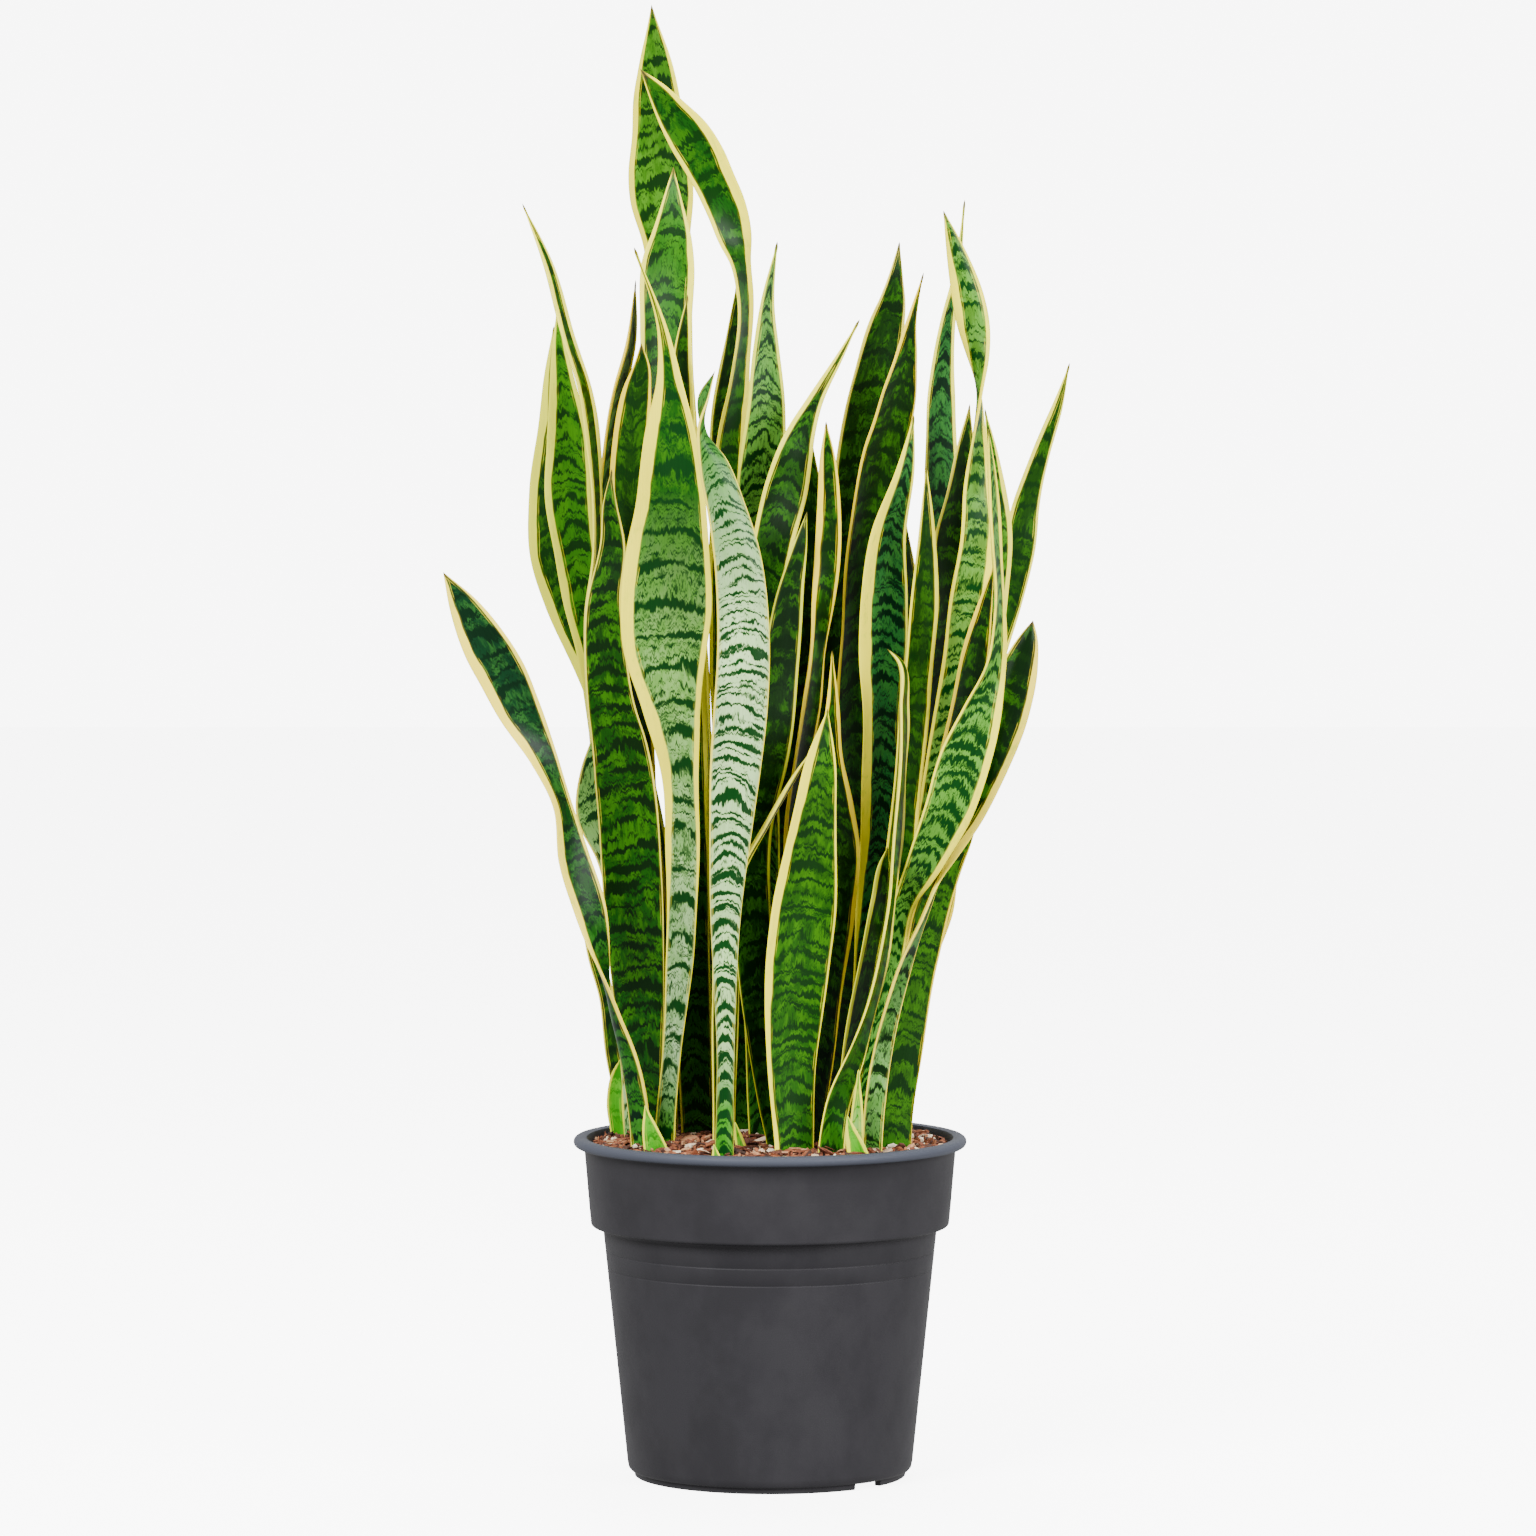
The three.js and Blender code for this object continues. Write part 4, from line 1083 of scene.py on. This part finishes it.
    def cutters(self) -> List[bpy.types.Object]:
        """Makes the blocks that the notches and the drain holes are cut with.

        Returns:
            The cutting objects.
        """
        made = []
        ring = self.body_foot - self.foot_set_back - self.foot_width / 2
        shapes = []
        for i in range(self.notches):
            angle = math.radians(self.first_notch + i * self.notch_pitch)
            wide, deep = self.notch_width / math.sqrt(2), self.foot_width * 1.5 * math.sqrt(2)
            shapes.append((0.0, -ring, wide, deep, 4, self.foot_height, math.pi / 4, angle))
        for i in range(self.holes):
            angle = (i + 0.5) * 2 * math.pi / self.holes
            size = self.hole_radius
            shapes.append((self.hole_circle, 0.0, size, size, 20, self.floor * 3, 0.0, angle))
        for k, (x, y, wide, deep, sides, tall, start, angle) in enumerate(shapes):
            turn = np.linspace(0, 2 * math.pi, sides, endpoint=False) + start
            loop = np.stack([x + wide * np.cos(turn), y + deep * np.sin(turn)], axis=1)
            spin = np.array([[math.cos(angle), math.sin(angle)], [-math.sin(angle), math.cos(angle)]])
            loop = loop @ spin
            bottom = np.column_stack([loop, np.full(sides, -tall)])
            top = np.column_stack([loop, np.full(sides, tall)])
            faces = grid_faces(2, sides)
            faces += [list(range(sides))[::-1], list(range(sides, 2 * sides))]
            made.append(mesh_object(f"cut_{k}", np.vstack([bottom, top]), faces, smooth=False))
        return made

    def build(self) -> bpy.types.Object:
        """Turns the profile about the upright axis and cuts the openings.

        Returns:
            The pot's object.
        """
        profile = self.profile()
        inner = profile[1:-1]
        angle = np.linspace(0, 2 * math.pi, self.segments, endpoint=False)
        ring = np.stack([np.cos(angle), np.sin(angle)], axis=1)
        body = np.empty((len(inner), self.segments, 3))
        body[:, :, :2] = inner[:, None, :1] * ring[None]
        body[:, :, 2] = inner[:, None, 1]
        points = np.vstack([body.reshape(-1, 3), [[0, 0, profile[0, 1]], [0, 0, profile[-1, 1]]]])
        faces = grid_faces(len(inner), self.segments)
        faces += end_fans((len(inner) - 1) * self.segments, self.segments)
        pot = mesh_object("pot_shell", points, faces)
        cutters = self.cutters()
        for cutter in cutters:
            modifier = pot.modifiers.new(cutter.name, "BOOLEAN")
            modifier.operation = "DIFFERENCE"
            modifier.solver = "EXACT"
            modifier.object = cutter
        bpy.context.view_layer.update()
        cut = bpy.data.meshes.new_from_object(pot.evaluated_get(bpy.context.evaluated_depsgraph_get()))
        pot.modifiers.clear()
        pot.data = cut
        for cutter in cutters:
            bpy.data.objects.remove(cutter)
        cut.polygons.foreach_set("use_smooth", np.full(len(cut.polygons), True))
        cut.set_sharp_from_angle(angle=math.radians(38))
        pot.data.materials.append(self.material())
        return pot

    def material(self) -> bpy.types.Material:
        """Makes the scuffed dark grey plastic, with a painted highlight on the lip.

        Returns:
            The material.
        """
        material, g, shader = new_material("pot_plastic")
        place = g.node("ShaderNodeTexCoord").outputs["Object"]
        x, y, z = g.split(place)
        turn = g.math(Op.ARCTAN2, y, x)
        broad = g.noise(g.vector(g.times(g.math(Op.COSINE, turn), 2.2),
                                 g.times(g.math(Op.SINE, turn), 2.2), g.times(z, 16.0)),
                        detail=4.0, roughness=0.6)
        grain = g.noise(place, scale=900.0, detail=2.0)
        dust = g.noise(place, scale=45.0, detail=5.0, roughness=0.65)
        color = g.mix(g.step(broad, 0.35, 0.65), srgb("252427"), srgb("2b2a2d"))
        color = g.mix(g.times(g.step(dust, 0.55, 0.75), 0.2), color, srgb("2e2d2e"))
        # The lip is painted a lighter bluish grey: a painted highlight where its top catches the light.
        lip = g.step(z, self.height - self.lip_height - 0.001, self.height - self.lip_height + 0.001)
        color = g.mix(g.times(lip, 0.7), color, srgb("464a55"))
        rings = g.noise(g.vector(0.0, 0.0, g.times(z, 1400.0)), detail=1.0)
        relief = g.add(g.times(grain, 0.6), g.times(rings, 0.25))
        g.put(shader.inputs["Base Color"], color)
        g.put(shader.inputs["Roughness"], g.scaled(dust, 0.18, 0.42))
        g.put(shader.inputs["Normal"], g.bump(relief, 0.3, 0.0003))
        shader.inputs["Specular IOR Level"].default_value = 0.12
        return material


# ---------------------------------------------------------------------------------------------
# Bark
# ---------------------------------------------------------------------------------------------


@dataclass
class BarkBed:
    """The bark mix: a lumpy mound with loose chips and splinters on it."""

    top: float = 0.2308
    radius: float = 0.1252
    mound: float = 0.0022
    wall: Tuple[Tuple[float, float], ...] = ((0.1203, 0.181), (0.1115, 0.167), (0.0952, 0.0073))
    lump: float = 0.003
    sink: float = 0.0015
    bed_tone: float = 0.2
    chips: int = 2600
    seed: int = 11
    rings: int = 46
    segments: int = 140

    def level(self, radius: np.ndarray) -> np.ndarray:
        """Gives the mound's height at a distance from its middle."""
        share = np.clip((radius / self.radius - 0.4) / 0.6, 0, 1)
        return self.top - self.mound * share**2

    def build_bed(self) -> bpy.types.Object:
        """Makes the solid under the chips: a closed disc whose top is lumpy.

        Returns:
            The bed's object.
        """
        rng = np.random.default_rng(self.seed)
        radii = self.radius * np.linspace(0.02, 1, self.rings)
        angle = np.linspace(0, 2 * math.pi, self.segments, endpoint=False)
        r, a = np.meshgrid(radii, angle, indexing="ij")
        lump = sum(
            np.sin(r * np.cos(a - p) * k + q) for k, p, q in
            zip(rng.uniform(120, 700, 14), rng.uniform(0, 6.3, 14), rng.uniform(0, 6.3, 14))
        ) / 14
        z = self.level(r) + self.lump * lump * np.clip((self.radius - r) / 0.01, 0, 1) - self.sink
        top = np.stack([r * np.cos(a), r * np.sin(a), z], axis=-1).reshape(-1, 3)
        wall = []
        for radius, height in self.wall:
            level = np.full_like(angle, height)
            wall.append(np.stack([radius * np.cos(angle), radius * np.sin(angle), level], axis=-1))
        points = np.vstack([top] + wall + [[[0, 0, self.top - self.sink]], [[0, 0, self.wall[-1][1]]]])
        rows = self.rings + len(wall)
        faces = grid_faces(rows, self.segments)
        faces += end_fans((rows - 1) * self.segments, self.segments)
        return mesh_object("bark_bed", points, faces, values={"chip": np.full(len(points), self.bed_tone)})

    def build_chips(self) -> bpy.types.Object:
        """Makes the loose chips, each a small rounded block with its own size, lie and colour.

        Each is a ball of four rings, squared off, scaled along three axes and dented at random.

        Returns:
            The chips' object.
        """
        rng = np.random.default_rng(self.seed + 1)
        sides, bands = 7, 3
        turn = np.linspace(0, 2 * math.pi, sides, endpoint=False)
        tilt = np.linspace(-1, 1, bands + 2)[1:-1] * 0.95
        ball = [[0, 0, -1.0]]
        for t in tilt:
            wide = (1 - abs(t) ** 3) ** 0.5
            ball += [[wide * math.cos(a), wide * math.sin(a), t] for a in turn]
        ball.append([0, 0, 1.0])
        ball = np.array(ball)
        n = self.chips
        length = rng.gamma(2.6, 0.0023, n).clip(0.002, 0.022) / 2
        size = np.stack([length, length * rng.uniform(0.3, 0.75, n), rng.uniform(0.0007, 0.0021, n)], axis=1)
        distance = (self.radius - 0.0015 - length) * np.sqrt(rng.uniform(0, 1, n))
        around = rng.uniform(0, 2 * math.pi, n)
        spin = rng.uniform(0, 2 * math.pi, n)
        lean = rng.normal(0, 0.28, n)
        shape = ball[None] * size[:, None] * rng.uniform(0.75, 1.25, (n, len(ball), 1))
        x = shape[:, :, 0] * np.cos(lean)[:, None] - shape[:, :, 2] * np.sin(lean)[:, None]
        z = shape[:, :, 0] * np.sin(lean)[:, None] + shape[:, :, 2] * np.cos(lean)[:, None]
        y = shape[:, :, 1]
        level = self.level(distance) + rng.uniform(-0.0012, 0.0022, n)
        points = np.stack([
            x * np.cos(spin)[:, None] - y * np.sin(spin)[:, None] + (distance * np.cos(around))[:, None],
            x * np.sin(spin)[:, None] + y * np.cos(spin)[:, None] + (distance * np.sin(around))[:, None],
            z + level[:, None],
        ], axis=-1)
        each = len(ball)
        one = [[0, 1 + (k + 1) % sides, 1 + k] for k in range(sides)]
        for b in range(bands - 1):
            base = 1 + b * sides
            one += [[base + k, base + (k + 1) % sides, base + sides + (k + 1) % sides, base + sides + k]
                    for k in range(sides)]
        base = 1 + (bands - 1) * sides
        one += [[base + k, base + (k + 1) % sides, each - 1] for k in range(sides)]
        faces = [[i * each + v for v in f] for i in range(n) for f in one]
        tone = np.repeat(rng.uniform(0, 1, n), each)
        return mesh_object("bark_chips", points.reshape(-1, 3), faces, values={"chip": tone}, smooth=False)

    def material(self) -> bpy.types.Material:
        """Makes the chips' finish, from dark red-brown bark to a few pale splinters.

        Returns:
            The material.
        """
        material, g, shader = new_material("bark")
        place = g.node("ShaderNodeTexCoord").outputs["Object"]
        tone = g.attribute("chip")
        color = g.ramp(tone, [(0.0, srgb("2c150c")), (0.25, srgb("562b18")), (0.5, srgb("733c22")),
                              (0.75, srgb("8e5230")), (0.88, srgb("b38862")), (0.95, srgb("e4d2b6"))])
        fibre = g.noise(place, scale=700.0, detail=3.0, roughness=0.7)
        shade = g.scaled(fibre, 0.9, 0.55)
        color = g.mix(1.0, color, g.vector(shade, shade, shade), Blend.MULTIPLY)
        g.put(shader.inputs["Base Color"], color)
        g.put(shader.inputs["Roughness"], g.scaled(fibre, 0.2, 0.7))
        g.put(shader.inputs["Normal"], g.bump(fibre, 0.6, 0.0006))
        return material


# ---------------------------------------------------------------------------------------------
# Studio
# ---------------------------------------------------------------------------------------------


@dataclass(frozen=True)
class Lamp:
    """A square soft light: where it hangs, what it points at, its side in metres and its power."""

    name: str
    place: Tuple[float, float, float]
    aim: Tuple[float, float, float]
    side: float
    watts: float

    def build(self) -> None:
        """Hangs the light, turned so that its front faces its aim."""
        lamp = bpy.data.lights.new(self.name, "AREA")
        lamp.size = self.side
        lamp.energy = self.watts
        made = bpy.data.objects.new(self.name, lamp)
        made.location = self.place
        x, y, z = np.array(self.aim) - np.array(self.place)
        made.rotation_euler = (math.atan2(math.hypot(x, y), -z), 0.0, math.atan2(-x, y))
        bpy.context.scene.collection.objects.link(made)


@dataclass
class Studio:
    """A pale floor, soft lights and the camera."""

    camera_place: Tuple[float, float, float] = (-0.0014, -5.5, 0.830)
    tilt_down: float = 3.5677
    lens: float = 188.6
    world: float = 0.90
    backdrop: float = 8.0
    floor_glow: float = 6.5
    floor_side: float = 18.0
    lamps: Tuple[Lamp, ...] = (
        Lamp("key", (-1.9, -2.6, 2.6), (0.0, 0.0, 0.55), 1.6, 275.0),
        Lamp("fill", (2.4, -2.2, 1.6), (0.0, 0.0, 0.5), 1.8, 195.0),
        Lamp("top", (0.2, 0.9, 3.0), (0.0, 0.0, 0.6), 1.4, 100.0),
    )

    def build(self) -> None:
        """Makes the floor, the lights, the surroundings and the camera, in that order."""
        self.build_floor()
        self.build_world()
        for lamp in self.lamps:
            lamp.build()
        self.build_camera()

    def build_floor(self) -> None:
        """Makes the plain floor, which looks white but lights nothing."""
        half = self.floor_side / 2
        corners = np.array([[-half, -half, 0], [half, -half, 0], [half, half, 0], [-half, half, 0]])
        floor = mesh_object("floor", corners, [[0, 1, 2, 3]], smooth=False)
        material, _, shader = new_material("pale_floor")
        shader.inputs["Base Color"].default_value = (0.94, 0.94, 0.94, 1)
        shader.inputs["Roughness"].default_value = 0.6
        shader.inputs["Emission Color"].default_value = (1, 1, 1, 1)
        shader.inputs["Emission Strength"].default_value = self.floor_glow
        floor.data.materials.append(material)
        floor.visible_glossy = False
        floor.visible_diffuse = False

    def build_world(self) -> None:
        """Makes surroundings that look white and give a dimmer even light."""
        world = bpy.data.worlds.new("studio")
        world.use_nodes = True
        g = Graph(world.node_tree)
        background = world.node_tree.nodes["Background"]
        background.inputs["Color"].default_value = (1, 1, 1, 1)
        seen = g.node("ShaderNodeLightPath").outputs["Is Camera Ray"]
        g.put(background.inputs["Strength"], g.scaled(seen, self.backdrop - self.world, self.world))
        bpy.context.scene.world = world

    def build_camera(self) -> None:
        """Makes the camera, level from side to side and tilted a little down."""
        lens = bpy.data.cameras.new("view")
        lens.lens = self.lens
        lens.sensor_width = 36.0
        lens.clip_end = 60.0
        camera = bpy.data.objects.new("view", lens)
        camera.location = self.camera_place
        camera.rotation_euler = (math.radians(90 - self.tilt_down), 0, 0)
        bpy.context.scene.collection.objects.link(camera)
        bpy.context.scene.camera = camera


# ---------------------------------------------------------------------------------------------
# Assembly
# ---------------------------------------------------------------------------------------------


def show(piece: bpy.types.Object, node: str) -> None:
    """Lets a piece stand for a CAD node.

    Args:
        piece: The piece.
        node: The CAD node that it replaces.
    """
    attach(piece, "root")
    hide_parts(node)


def main() -> None:
    """Builds the plant's looks, in order."""
    logging.basicConfig(level=logging.INFO)
    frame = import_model()

    Studio().build()
    pot = NurseryPot().build()
    show(pot, "nursery_pot")
    LOG.info("pot: %d faces", len(pot.data.polygons))

    bark = BarkBed()
    finish = bark.material()
    bed, chips = bark.build_bed(), bark.build_chips()
    for piece in (bed, chips):
        piece.data.materials.append(finish)
    show(bed, "bark_mix")
    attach(chips, "root")
    LOG.info("bark: %d faces", len(bed.data.polygons) + len(chips.data.polygons))

    pattern = BladePattern()
    for count, (node, look) in enumerate(FINISHES.items()):
        blade = LeafBlade(node=node, source=frame["nodes"][node], seed=1.7 * count).build()
        blade.data.materials.append(pattern.material(node, look, 3.1 * count))
        show(blade, node)
    LOG.info("leaves: %d", len(FINISHES))


if __name__ == "__main__":
    main()
